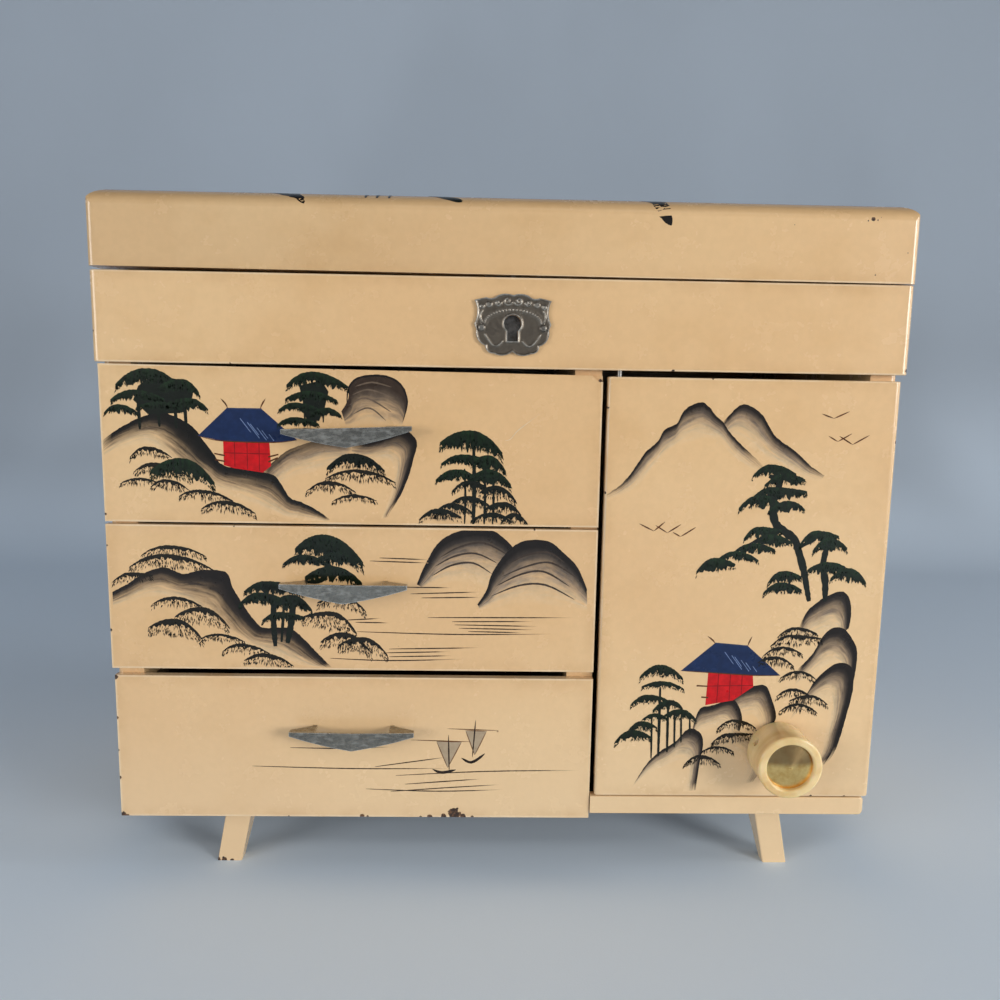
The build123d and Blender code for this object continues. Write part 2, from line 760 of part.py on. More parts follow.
with BuildPart() as door_panel:
    block((door_left, door_right), (front_y, door_back_y), (door_bottom, door_top))
    upright = door_panel.faces().sort_by(Axis.Y)[0].edges().filter_by(Axis.Z).sort_by(Axis.X)
    fillet(upright[-1], corner_round)
    fillet(door_panel.edges().filter_by(Axis.Z).group_by(Axis.Y)[0].sort_by(Axis.X)[0], edge_round)
    fillet(door_panel.faces().filter_by(Axis.Y).sort_by(Axis.Y)[0].edges().filter_by(Axis.X), edge_round / 2)
    rod_y(bush_radius, knob_x, (front_y, door_back_y), knob_z, mode=Mode.SUBTRACT)
    for low, high in ((door_bottom, door_bottom + pivot_in_door), (door_top - pivot_in_door, door_top)):
        pivot_rod(pivot_radius, low, high, mode=Mode.SUBTRACT)
save(door_panel, "door_panel")

with BuildPart() as door_pivot_pins:
    pivot_rod(pivot_radius, sill_top - pivot_in_frame + pivot_end_play, door_bottom + pivot_in_door)
    pivot_rod(pivot_radius, door_top - pivot_in_door, upper_bottom + pivot_in_frame)
save(door_pivot_pins, "door_pivot_pins")

knob_centre = (knob_x, front_y, knob_z)


def turned(profile):
    """A solid turned about the knob's axis, from (radius, distance behind the front plane) points."""
    section = Plane(origin=knob_centre, x_dir=(1, 0, 0), z_dir=(0, 0, 1))
    with BuildSketch(section, mode=Mode.PRIVATE) as half:
        with BuildLine():
            Polyline(*profile, close=True)
        make_face()
    revolve(half.sketch, axis=Axis(knob_centre, (0, 1, 0)))


door_back = front_thick - front_gap
bush_end = door_back + bush_flange
with BuildPart() as spindle_bush:
    turned(
        (
            (spindle_radius + spindle_running, 0),
            (bush_radius, 0),
            (bush_radius, door_back),
            (bush_flange_radius, door_back),
            (bush_flange_radius, bush_end),
            (spindle_radius + spindle_running, bush_end),
        )
    )
save(spindle_bush, "spindle_bush")

knob_face = -knob_reach
knob_back = -knob_stand_off
with BuildPart() as knob_body:
    turned(
        (
            (0, knob_face + knob_recess),
            (knob_recess_radius, knob_face + knob_recess),
            (knob_recess_radius, knob_face),
            (knob_radius, knob_face),
            (knob_back_radius, knob_back),
            (spindle_radius, knob_back),
            (spindle_radius, knob_back - knob_bore_depth),
            (0, knob_back - knob_bore_depth),
        )
    )
    flat_faces = knob_body.faces().filter_by(Axis.Y).sort_by(Axis.Y)
    back_edge = flat_faces[-1].edges().sort_by(SortBy.RADIUS)[-1]
    fillet(flat_faces[0].edges(), knob_face_round)
    fillet(back_edge, knob_back_round)
    grub_direction = (cos(radians(grub_angle)), 0, sin(radians(grub_angle)))
    grub_plane = Plane(origin=(knob_x, front_y - grub_from_door, knob_z), z_dir=grub_direction)
    with BuildSketch(grub_plane.offset(spindle_radius)):
        Circle(grub_radius)
    extrude(amount=knob_radius, mode=Mode.SUBTRACT)
save(knob_body, "knob_body")

with BuildPart() as knob_grub_screw:
    with BuildSketch(grub_plane.offset(spindle_radius)):
        Circle(grub_radius)
    extrude(amount=grub_length)
    with BuildSketch(grub_plane.offset(spindle_radius + grub_length - grub_slot_deep)):
        Rectangle(3 * grub_radius, grub_slot_wide)
    extrude(amount=grub_slot_deep, mode=Mode.SUBTRACT)
save(knob_grub_screw, "knob_grub_screw")

with BuildPart() as knob_insert:
    seat = knob_face + knob_recess
    rim = seat - insert_rim
    turned(((0, seat), (knob_recess_radius, seat), (knob_recess_radius, rim), (0, rim - insert_cone)))
save(knob_insert, "knob_insert")

tongue_far = tongue_back + tongue_thick
with BuildPart() as knob_spindle:
    turned(
        (
            (0, knob_back - knob_bore_depth),
            (spindle_radius, knob_back - knob_bore_depth),
            (spindle_radius, tongue_back),
            (spindle_neck, tongue_back),
            (spindle_neck, tongue_far),
            (spindle_neck + rivet, tongue_far),
            (spindle_neck + rivet, tongue_far + rivet),
            (0, tongue_far + rivet),
        )
    )
save(knob_spindle, "knob_spindle")

# The latch tongue points to the right when the door is free, and down into a slot in the bottom board
# when the knob is turned
with BuildPart() as latch_tongue:
    with BuildSketch(front_plane) as flat:
        with Locations((knob_x, knob_z)):
            Circle(tongue_wide / 2 + 1.2)
        with Locations((knob_x + (tongue_reach - tongue_wide / 2) / 2, knob_z)):
            Rectangle(tongue_reach - tongue_wide / 2, tongue_wide)
        with Locations((knob_x + tongue_reach - tongue_wide / 2, knob_z)):
            Circle(tongue_wide / 2)
        with Locations((knob_x, knob_z)):
            Circle(spindle_neck, mode=Mode.SUBTRACT)
    along_y(flat.sketch, front_y + tongue_back, front_y + tongue_far)
save(latch_tongue, "latch_tongue")

print("front plane y", round(front_y, 3), "back y", round(back_y, 3), "hinge axis y", round(hinge_axis_y, 3))
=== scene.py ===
import math
import random

import bmesh
import bpy
from mathutils import Matrix, Vector
from mathutils.geometry import tessellate_polygon
from mathutils.kdtree import KDTree


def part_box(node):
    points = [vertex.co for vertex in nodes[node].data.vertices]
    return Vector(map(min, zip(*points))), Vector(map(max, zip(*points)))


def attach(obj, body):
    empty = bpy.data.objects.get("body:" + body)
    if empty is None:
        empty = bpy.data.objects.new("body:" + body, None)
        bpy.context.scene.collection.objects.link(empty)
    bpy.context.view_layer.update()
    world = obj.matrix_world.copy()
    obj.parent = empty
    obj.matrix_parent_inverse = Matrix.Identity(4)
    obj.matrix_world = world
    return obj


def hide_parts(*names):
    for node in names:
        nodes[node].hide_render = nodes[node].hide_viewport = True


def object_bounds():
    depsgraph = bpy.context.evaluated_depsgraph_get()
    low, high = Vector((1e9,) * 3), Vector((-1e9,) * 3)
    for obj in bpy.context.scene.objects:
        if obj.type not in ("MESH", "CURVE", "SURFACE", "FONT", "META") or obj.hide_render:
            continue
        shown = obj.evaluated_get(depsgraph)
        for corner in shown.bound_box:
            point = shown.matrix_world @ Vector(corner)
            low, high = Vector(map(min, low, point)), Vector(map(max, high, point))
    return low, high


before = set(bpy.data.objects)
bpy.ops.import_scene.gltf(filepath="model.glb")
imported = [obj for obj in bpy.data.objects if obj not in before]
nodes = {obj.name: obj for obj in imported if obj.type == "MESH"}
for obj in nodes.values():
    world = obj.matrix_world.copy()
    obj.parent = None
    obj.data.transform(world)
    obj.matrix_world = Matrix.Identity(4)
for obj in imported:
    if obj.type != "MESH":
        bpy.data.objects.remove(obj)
cad_low, cad_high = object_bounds()

MM = 0.001
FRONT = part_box("upper_front")[0][1]  # y of the front plane, in metres

# ---- Node material helper -----------------------------------------------------------------------


def linear(hexcode, gain=1.0):
    """A colour as seen, written as six hex digits, as linear RGBA."""
    parts = [int(hexcode[i : i + 2], 16) / 255 for i in (0, 2, 4)]
    return tuple(
        gain * ((c / 12.92) if c <= 0.04045 else ((c + 0.055) / 1.055) ** 2.4) for c in parts
    ) + (1.0,)


class Mat:
    """A node material under construction. Values may be sockets, numbers or colours."""

    def __init__(self, name):
        self.mat = bpy.data.materials.new(name)
        self.mat.use_nodes = True
        self.tree = self.mat.node_tree
        self.bsdf = self.tree.nodes["Principled BSDF"]
        self.pos = self.node("ShaderNodeTexCoord").outputs["Object"]

    def node(self, kind, **attrs):
        n = self.tree.nodes.new(kind)
        for key, value in attrs.items():
            setattr(n, key, value)
        return n

    def put(self, socket, value):
        if isinstance(value, bpy.types.NodeSocket):
            self.tree.links.new(value, socket)
        else:
            socket.default_value = value

    def math(self, op, a, b=0.0, c=0.0, clamp=False):
        n = self.node("ShaderNodeMath", operation=op, use_clamp=clamp)
        for socket, value in zip(n.inputs, (a, b, c)):
            self.put(socket, value)
        return n.outputs[0]

    def remap(self, value, low, high, to_low=0.0, to_high=1.0, smooth=True):
        n = self.node("ShaderNodeMapRange", interpolation_type="SMOOTHSTEP" if smooth else "LINEAR")
        for key, v in zip(
            ("Value", "From Min", "From Max", "To Min", "To Max"), (value, low, high, to_low, to_high),
        ):
            self.put(n.inputs[key], v)
        return n.outputs["Result"]

    def mix(self, factor, a, b, blend="MIX"):
        n = self.node("ShaderNodeMix", data_type="RGBA", blend_type=blend)
        self.put(n.inputs["Factor"], factor)
        self.put(n.inputs["A"], a)
        self.put(n.inputs["B"], b)
        return n.outputs["Result"]

    def stretch(self, scale, shift=(0, 0, 0)):
        n = self.node("ShaderNodeMapping")
        self.put(n.inputs["Vector"], self.pos)
        n.inputs["Scale"].default_value = scale
        n.inputs["Location"].default_value = shift
        return n.outputs["Vector"]

    def noise(self, scale, detail=3.0, rough=0.55, vector=None, distortion=0.0):
        n = self.node("ShaderNodeTexNoise")
        self.put(n.inputs["Vector"], vector or self.pos)
        for key, v in (
            ("Scale", scale), ("Detail", detail), ("Roughness", rough), ("Distortion", distortion),
        ):
            n.inputs[key].default_value = v
        return n.outputs["Fac"]

    def voronoi(self, scale):
        n = self.node("ShaderNodeTexVoronoi", feature="F1")
        self.put(n.inputs["Vector"], self.pos)
        n.inputs["Scale"].default_value = scale
        return n

    def attribute(self, name):
        return self.node("ShaderNodeAttribute", attribute_name=name)

    def xyz(self, vector=None):
        n = self.node("ShaderNodeSeparateXYZ")
        self.put(n.inputs[0], vector or self.pos)
        return n.outputs

    def bump(self, height, strength=0.2, distance=0.0002):
        n = self.node("ShaderNodeBump")
        self.put(n.inputs["Height"], height)
        n.inputs["Strength"].default_value = strength
        n.inputs["Distance"].default_value = distance
        return n.outputs["Normal"]

    def shade(self, **values):
        for key, value in values.items():
            self.put(self.bsdf.inputs[key.replace("_", " ").title().replace("Ior", "IOR")], value)
        return self.mat


# ---- Lacquer ------------------------------------------------------------------------------------

CREAM = linear("ddb583")
CREAM_PALE = linear("e3bf8e")
CREAM_DEEP = linear("d2a873")
CREAM_EDGE = linear("f0e0c2")
CREAM_PAINTED_LOW_LIGHT = linear("ead0aa")  # painted light: paler near the feet, as if lit from the floor
WOOD_DARK = linear("2c1c12")
WOOD = linear("6b4a30")


def lacquer_colour(m):
    """Aged cream lacquer from the place alone: soft clouds, fine mottling, small brown specks, painted light
    at the feet.
    """
    broad = m.remap(m.noise(7.0, 3.0, 0.5), 0.35, 0.68)
    colour = m.mix(broad, CREAM, CREAM_PALE)
    cloud = m.remap(m.noise(24.0, 4.0, 0.6, m.stretch((1, 1, 1.4), (3, 1, 2))), 0.48, 0.78, 0.0, 0.5)
    colour = m.mix(cloud, colour, CREAM_DEEP)
    fine = m.remap(m.noise(420.0, 2.0, 0.5), 0.3, 0.7, 0.98, 1.015)
    colour = m.mix(1.0, colour, fine, "MULTIPLY")
    # Painted light: the lacquer paler towards the feet, as if lit from the floor
    colour = m.mix(m.remap(m.xyz()[2], 0.11, 0.0, 0.0, 0.55), colour, CREAM_PAINTED_LOW_LIGHT)
    cell = m.voronoi(80.0)
    rare = m.math("GREATER_THAN", m.xyz(cell.outputs["Color"])[0], 0.95)
    speck = m.math("MULTIPLY", rare, m.remap(cell.outputs["Distance"], 0.045, 0.018))
    return m.mix(m.math("MULTIPLY", speck, 0.75), colour, linear("5a3a1e"))


def lacquer_finish(m, colour, height=0.0, rough=0.0):
    """The gloss, with a slow ripple under it. height and rough add to it where the coat is broken."""
    ripple = m.math(
        "MULTIPLY_ADD", m.noise(14.0, 2.0, 0.5), 0.6, m.math("MULTIPLY", m.noise(160.0, 3.0, 0.5), 0.08),
    )
    worn = m.remap(m.noise(70.0, 4.0, 0.7), 0.3, 0.8, 0.20, 0.32)
    m.shade(base_color=colour, coat_weight=0.3, coat_roughness=0.12, ior=1.5)
    m.shade(roughness=m.math("ADD", worn, rough))
    return m.shade(normal=m.bump(m.math("ADD", ripple, height), 0.25, 0.0006))


def edge_highlight_and_band(m, colour, low, high):
    """Along a board's edges, from its box's corners: a pale line of painted highlight, a faint brown band
    inside it.
    """
    x, _, z = m.xyz()
    near = m.math("MINIMUM", m.math("SUBTRACT", x, low[0]), m.math("SUBTRACT", high[0], x))
    near = m.math(
        "MINIMUM", near, m.math("MINIMUM", m.math("SUBTRACT", z, low[2]), m.math("SUBTRACT", high[2], z)),
    )
    patchy = m.remap(m.noise(60.0, 4.0, 0.7), 0.35, 0.7, 0.1, 1.0)
    band = m.math("MULTIPLY", m.remap(near, 0.0060, 0.0, 0.0, 0.28), patchy)
    colour = m.mix(band, colour, linear("b58a58"))
    # Painted highlight: a pale line right along the rounded edges
    pale = m.math(
        "MULTIPLY", m.remap(near, 0.00085, 0.00035, 0.0, 0.42),
        m.remap(m.noise(45.0, 3.0, 0.6), 0.3, 0.6, 0.2, 1.0),
    )
    return m.mix(pale, colour, CREAM_EDGE)


def chips(m, colour, places):
    """Chips through the lacquer: (x, z, radius) in millimetres on the front, ragged, dark wood inside."""
    x, _, z = m.xyz()
    ragged = m.noise(420.0, 4.0, 0.65)
    mask = 0.0
    for cx, cz, radius in places:
        dx = m.math("SUBTRACT", x, cx * MM)
        dz = m.math("SUBTRACT", z, cz * MM)
        away = m.math("SQRT", m.math("ADD", m.math("MULTIPLY", dx, dx), m.math("MULTIPLY", dz, dz)))
        reach = m.remap(ragged, 0.25, 0.75, 0.25 * radius * MM, 1.5 * radius * MM, smooth=False)
        inside = m.math("SUBTRACT", reach, away)
        mask = m.math("MAXIMUM", mask, m.remap(inside, -0.00004, 0.00006))
    wood = m.mix(m.remap(m.noise(900.0, 3.0, 0.6), 0.4, 0.65), WOOD_DARK, WOOD)
    return m.mix(mask, colour, wood), mask


def painted_lid_shade(m, colour, top):
    """Painted shade on the lid: darker towards the left and over its rounded edge and top. A tint
    matched to the photograph, where the lid is darker to the left and over its rounded edge.

    It stands for light and shade, not the lacquer's own colour, and the top's tone is a guess. Part of
    that may be the photograph's light rather than the lacquer, so the top's tone is a guess.
    """
    x, _, z = m.xyz()
    # Painted shade: darker towards the lid's left end
    colour = m.mix(1.0, colour, m.remap(x, -0.15, 0.10, 0.87, 0.98), "MULTIPLY")
    # Painted shade over the lid's rounded edge and top
    rounded_edge_shade = m.remap(z, top - 0.0065, top - 0.001, 0.0, 0.42)
    return m.mix(rounded_edge_shade, colour, linear("a8865c"))


def lacquer(name, board=None, places=(), lid_top=None):
    m = Mat(name)
    colour = lacquer_colour(m)
    # The lid's coat gets painted shade
    if lid_top:
        colour = painted_lid_shade(m, colour, lid_top)
    if board:
        colour = edge_highlight_and_band(m, colour, *board)
    mask = 0.0
    if places:
        colour, mask = chips(m, colour, places)
    return lacquer_finish(m, colour, m.math("MULTIPLY", mask, -0.8), m.math("MULTIPLY", mask, 0.5))


def clad(node, *materials):
    mesh = nodes[node].data
    mesh.materials.clear()
    for material in materials:
        mesh.materials.append(material)


chip_places = {
    "drawer_top_front": (
        (-144.2, 139.5, 0.5), (34.6, 190.6, 0.8), (-38, 192.9, 0.35), (-25, 192.8, 0.3), (-61, 192.9, 0.3),
    ),
    "drawer_middle_front": ((-144.2, 128, 0.4), (-144.3, 96, 0.45), (12, 135.7, 0.4), (-98, 135.6, 0.35)),
    "drawer_bottom_front": (
        (-16.2, 24.0, 2.6), (-13.2, 22.9, 1.3), (-20.5, 22.8, 1.2), (-26, 22.7, 0.9), (-29.5, 22.6, 0.6),
        (-9.5, 22.7, 0.7),
        (-51.9, 22.9, 1.0), (-49.8, 22.7, 0.6), (-143.3, 22.9, 1.5), (-141.3, 22.7, 0.8),
        (-143.6, 38, 0.7), (-143.7, 49, 0.5),
        (-143.6, 62, 0.6), (-143.4, 77.9, 0.8), (-80, 22.7, 0.5),
    ),
    "door_panel": (
        (37.6, 181, 0.6), (37.5, 150, 0.45), (75, 191.9, 0.45), (143.7, 170, 0.5), (121.5, 32.5, 0.7),
        (134.5, 32.4, 0.5),
    ),
    "upper_front": ((-145.4, 205, 0.4), (145.4, 196, 0.6), (60.5, 194.5, 0.5), (-97.5, 194.5, 0.4)),
}
for board, places in chip_places.items():
    clad(board, lacquer(f"lacquer_{board}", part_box(board), places))

lid_low, lid_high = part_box("lid_front_rail")
lid_places = (
    (128.9, 248.6, 0.8), (130.4, 248.2, 0.45), (127.0, 247.9, 0.3), (131.6, 249.2, 0.25),
    (131, 229.4, 0.35), (142, 237.2, 0.3), (101, 246.0, 0.2),
)
lid_lacquer = lacquer(
    "lacquer_lid", (lid_low, Vector((lid_high[0], lid_high[1], lid_high[2] + 0.02))), lid_places,
    cad_high[2],
)
for board in ("lid_panel", "lid_front_rail", "lid_back_rail", "lid_left_rail", "lid_right_rail"):
    clad(board, lid_lacquer)
foot_chips = (
    (-110.0, 0.6, 1.5), (-107.2, 0.3, 1.3), (-104.4, 0.2, 0.8), (-111.0, 3.0, 0.8), (-110.6, 5.0, 0.5),
    (142.4, 25.4, 0.8),
)
case_lacquer = lacquer("lacquer_case", None, foot_chips)
for board in ("side_left", "side_right", "back_panel", "sill_strip", "partition"):
    clad(board, case_lacquer)
for corner in ("front_left", "front_right", "rear_left", "rear_right"):
    clad(f"leg_{corner}", case_lacquer)

# ---- The painted landscape: ink strokes as thin closed slabs on the boards ------------------------

INK = linear("17120e")
PINE = linear("12180f")
LEAF = linear("1a3018")
NEEDLE = linear("271b10")
ROCK = linear("1d1612")
GREY = linear("75665a")
MIST = linear("e2d0ae")
BROWN = linear("5a3216")
NAVY = linear("182b52")
ROOF_LINE = linear("7f94bd")
RED = linear("cc1016")
RED_DEEP = linear("8a0a0e")
SAIL = linear("8f8678")
WATER = linear("2e2018")
SLOPE = linear("55473b")


FIRST_COAT = 0.02  # mm over the board
COAT = 0.0006  # mm that each stroke lies over the one before


def blend(a, b, t):
    return tuple(p + (q - p) * min(max(t, 0.0), 1.0) for p, q in zip(a, b))


def smooth(points, steps=4):
    """A Catmull-Rom curve through the points."""
    padded = [points[0], *points, points[-1]]
    curve = []
    for p, q, r, s in zip(padded, padded[1:], padded[2:], padded[3:]):
        for k in range(steps):
            t = k / steps
            curve.append(
                tuple(
                    0.5 * (
                        2 * b + (c - a) * t + (
                            2 * a - 5 * b + 4 * c - d
                        ) * t * t + (3 * b - a - 3 * c + d) * t**3
                    )
                    for a, b, c, d in zip(p, q, r, s)
                )
            )
    return curve + [tuple(points[-1])]


def even(points, count):
    """The same curve with that many points at equal steps along it."""
    lengths = [0.0]
    for a, b in zip(points, points[1:]):
        lengths.append(lengths[-1] + math.dist(a, b))
    out = []
    k = 0
    for i in range(count):
        want = lengths[-1] * i / (count - 1)
        while k < len(lengths) - 2 and lengths[k + 1] < want:
            k += 1
        t = (want - lengths[k]) / max(lengths[k + 1] - lengths[k], 1e-9)
        out.append(tuple(a + (b - a) * t for a, b in zip(points[k], points[k + 1])))
    return out


class Painting:
    """Ink on one face, in millimetres. place() puts (across, up, height over the face) in space."""

    def __init__(self, name, body, place, seed):
        self.name = name
        self.body = body
        self.place = place
        self.rng = random.Random(seed)
        self.level = FIRST_COAT
        self.verts = []
        self.faces = []
        self.ink = []
        self.cover = []
        self.brush = []

    def slab(self, points, faces, ink, cover, brush=None):
        """A closed slab: the faces over the board, the same faces under them, and a skirt between."""
        turn = 0.0
        for face in faces:
            corners = [points[i] for i in face]
            turn += sum(a[0] * b[1] - b[0] * a[1] for a, b in zip(corners, corners[1:] + corners[:1]))
        if turn < 0:
            faces = [list(reversed(face)) for face in faces]
        base = len(self.verts)
        count = len(points)
        for height in (self.level, 0.0):
            self.verts += [self.place(x, z, height) for x, z in points]
            self.ink += ink
            self.cover += cover
            self.brush += brush or [(0.0, 0.0, 0.0)] * count
        edges = set()
        for face in faces:
            self.faces.append([base + i for i in face])
            self.faces.append([base + count + i for i in reversed(face)])
            edges.update(zip(face, face[1:] + face[:1]))
        for a, b in edges:
            if (b, a) not in edges:
                self.faces.append([base + b, base + a, base + count + a, base + count + b])

    def lift(self):
        """The next stroke lies over this one."""
        self.level += COAT

    def grid(self, rows, ink, cover, brush):
        n = len(rows[0])
        points = [point for row in rows for point in row]
        faces = []
        for j in range(len(rows) - 1):
            for i in range(n - 1):
                k = j * n + i
                faces.append([k, k + 1, k + n + 1, k + n])
        self.slab(points, faces, ink, cover, brush)
        self.lift()

    def stroke(self, points, width, ink=INK, cover=1.0, dry=0.0, tips=0.12, flat=False):
        """A brush line that swells to the given width. dry is the share of its end that runs out of ink."""
        line = even(
            smooth(points), max(4, int(sum(math.dist(a, b) for a, b in zip(points, points[1:])) / 0.9)),
        )
        n = len(line)
        rows = ([], [], [])
        covers = []
        for i, (x, z) in enumerate(line):
            a, b = line[max(i - 1, 0)], line[min(i + 1, n - 1)]
            size = math.dist(a, b) or 1.0
            nx, nz = (a[1] - b[1]) / size, (b[0] - a[0]) / size
            u = i / (n - 1)
            swell = 1.0 if flat else tips + (1 - tips) * math.sin(math.pi * u) ** 0.55
            half = width / 2 * swell * self.rng.uniform(0.88, 1.12)
            for row, side in zip(rows, (1, 0, -1)):
                row.append((x + nx * half * side, z + nz * half * side))
            covers.append(cover * (min(1.0, (1 - u) / dry) if dry else 1.0))
        brush = [(v * 1.6, i * 0.12, self.level * 40) for v in range(3) for i in range(n)]
        self.grid(rows, [ink] * (3 * n), covers * 3, brush)

    def patch(self, outline, ink, cover=1.0):
        """A flat filled shape."""
        faces = [list(face) for face in tessellate_polygon([[Vector((x, z, 0)) for x, z in outline]])]
        fixed = []
        for face in faces:
            a, b, c = (outline[i] for i in face)
            turn = (b[0] - a[0]) * (c[1] - a[1]) - (c[0] - a[0]) * (b[1] - a[1])
            fixed.append(face if turn > 0 else face[::-1])
        self.slab(list(outline), fixed, [ink] * len(outline), [cover] * len(outline))
        self.lift()

    def wash(self, crest, foot, dark=ROCK, mid=GREY, strength=1.0, depth=0.42, fade=(0.06, 0.06), heavy=None):
        """Graded ink from a dark crest down to a foot where it dies away, streaked by the brush's hairs.

        heavy is (share along the crest, width, added depth) of a place where the ink lies thicker.
        """
        length = sum(math.dist(a, b) for a, b in zip(crest, crest[1:]))
        n = max(8, int(length / 0.8))
        m = 12
        top = even(smooth(crest), n)
        low = even(smooth(foot), n)
        rough = [self.rng.uniform(-0.14, 0.14) for _ in range(n)]
        points, ink, cover, brush = [], [], [], []
        for j in range(m):
            v = j / (m - 1)
            for i in range(n):
                u = i / (n - 1)
                x = top[i][0] + (low[i][0] - top[i][0]) * v
                z = top[i][1] + (low[i][1] - top[i][1]) * v + rough[i] * (1 - v)
                points.append((x, z))
                deep = depth
                if heavy:
                    deep += heavy[2] * math.exp(-(((u - heavy[0]) / heavy[1]) ** 2))
                if v < deep:
                    ink.append(blend(dark, mid, (v / deep - 0.25) / 0.75))
                else:
                    ink.append(blend(mid, MIST, (v - deep) / max(0.9 - deep, 0.1)))
                ends = min(1.0, u / fade[0] if fade[0] else 1.0, (1 - u) / fade[1] if fade[1] else 1.0)
                cover.append(strength * (0.25 + 0.75 * ends) * min(1.0, (1 - v) / (1 - 0.45 * deep)) ** 1.1)
                brush.append((u * length * 0.07, v * 9.0, self.level * 40))
        rows = [points[j * n : (j + 1) * n] for j in range(m)]
        self.grid(rows, ink, cover, brush)

    def pad(self, left, top, right, dense=0.35, green=0.0, drop=2.3):
        """A pine's pad: a dark arch, and rows of short needles that hang and fan out below it."""
        rng = self.rng
        width = right[0] - left[0]

        def arch(x):
            side = left if x < top[0] else right
            t = abs(x - top[0]) / max(abs(side[0] - top[0]), 0.1)
            return side[1] + (top[1] - side[1]) * (1 - min(t, 1.0) ** 2.1)

        tone = blend(NEEDLE, PINE, dense * 1.5)
        n = max(8, int(width / 0.55))
        upper, lower = [], []
        body = 0.6 + 0.72 * dense * (top[1] - min(left[1], right[1]))
        for i in range(n):
            t = i / (n - 1)
            x = left[0] + width * t
            z = arch(x) + rng.uniform(-0.12, 0.12)
            thick = body * math.sin(math.pi * (0.04 + 0.92 * t)) ** 0.7 * rng.uniform(0.55, 1.2)
            upper.append((x, z))
            lower.append((x + rng.uniform(-0.15, 0.15), z - thick))
        leafy = [blend(tone, LEAF, green * rng.random() * 1.5) for _ in range(n)]
        self.grid((upper, lower), leafy + [tone] * n, [1.0] * (2 * n), None)
        height = top[1] - min(left[1], right[1])
        for _ in range(int(width * (height + drop) * (0.7 + 0.9 * dense))):
            t = rng.uniform(-1.0, 1.0)
            x = left[0] + width * (t + 1) / 2
            start = arch(x) - rng.uniform(0.1, 0.85) * height * (1 - abs(t) * 0.5)
            size = drop * rng.uniform(0.35, 0.85) * (1 - 0.35 * abs(t))
            lean = t * 0.45 + rng.uniform(-0.12, 0.12)
            self.needle(
                (x, start), (x + lean * size, start - size), rng.uniform(0.10, 0.19),
                blend(tone, LEAF, green * rng.random()),
            )
        self.lift()

    def needle(self, start, end, half, ink):
        size = math.dist(start, end)
        nx, nz = (start[1] - end[1]) / size * half, (end[0] - start[0]) / size * half
        mx, mz = start[0] + (end[0] - start[0]) * 0.4, start[1] + (end[1] - start[1]) * 0.4
        points = [start, (mx + nx, mz + nz), end, (mx - nx, mz - nz)]
        self.slab(points, [[0, 1, 2, 3]], [ink] * 4, [1.0] * 4)

    def pads(self, rows, **style):
        for left, top, right in rows:
            self.pad(left, top, right, **style)

    def rails(self, rows, width, ink=BROWN):
        for start, end in rows:
            self.stroke((start, end), width, ink, flat=True)

    def build(self, material):
        mesh = bpy.data.meshes.new(self.name)
        mesh.from_pydata(self.verts, [], self.faces)
        ink = mesh.attributes.new("ink", "FLOAT_COLOR", "POINT")
        ink.data.foreach_set("color", [c for colour in self.ink for c in colour])
        cover = mesh.attributes.new("cover", "FLOAT", "POINT")
        cover.data.foreach_set("value", self.cover)
        brush = mesh.attributes.new("brush", "FLOAT_VECTOR", "POINT")
        brush.data.foreach_set("vector", [c for place in self.brush for c in place])
        mesh.materials.append(material)
        mesh.update()
        item = bpy.data.objects.new(self.name, mesh)
        bpy.context.scene.collection.objects.link(item)
        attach(item, self.body)


def ink_material(name, lid_top=None):
    """Ink over the same lacquer: its cover breaks up along the brush's hairs where it runs thin."""
    m = Mat(name)
    ground = lacquer_colour(m)
    # The lid's ink ground gets the same painted shade
    if lid_top:
        ground = painted_lid_shade(m, ground, lid_top)
    ink = m.attribute("ink").outputs["Color"]
    bare = m.math("SUBTRACT", 1.0, m.attribute("cover").outputs["Fac"])
    hairs = m.noise(1.0, 3.0, 0.6, m.attribute("brush").outputs["Vector"])
    streak = m.math("MULTIPLY_ADD", m.remap(hairs, 0.3, 0.7, smooth=False), 1.5, -0.75)
    thin = m.math("MULTIPLY", bare, m.math("SUBTRACT", 1.0, bare))
    mask = m.math(
        "MULTIPLY_ADD", m.math("MULTIPLY", thin, 2.0), streak, m.math("SUBTRACT", 1.0, bare), clamp=True,
    )
    wet = m.remap(m.noise(330.0, 3.0, 0.6), 0.35, 0.7, 0.75, 1.0)
    ink = m.mix(1.0, ink, wet, "MULTIPLY")
    m.shade(specular_ior_level=m.math("MULTIPLY_ADD", mask, -0.3, 0.5))
    return lacquer_finish(m, m.mix(mask, ground, ink), 0.0, m.math("MULTIPLY", mask, 0.05))


def front_face(board, margin=0.7):
    """Places on a front board, held a little inside its rounded edges."""
    low, high = (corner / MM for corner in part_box(board))

    def place(x, z, height):
        x = min(max(x + 0.5, low[0] + margin), high[0] - margin)
        z = min(max(z, low[2] + margin), high[2] - margin)
        return Vector((x, low[1] - height, z)) * MM

    return place


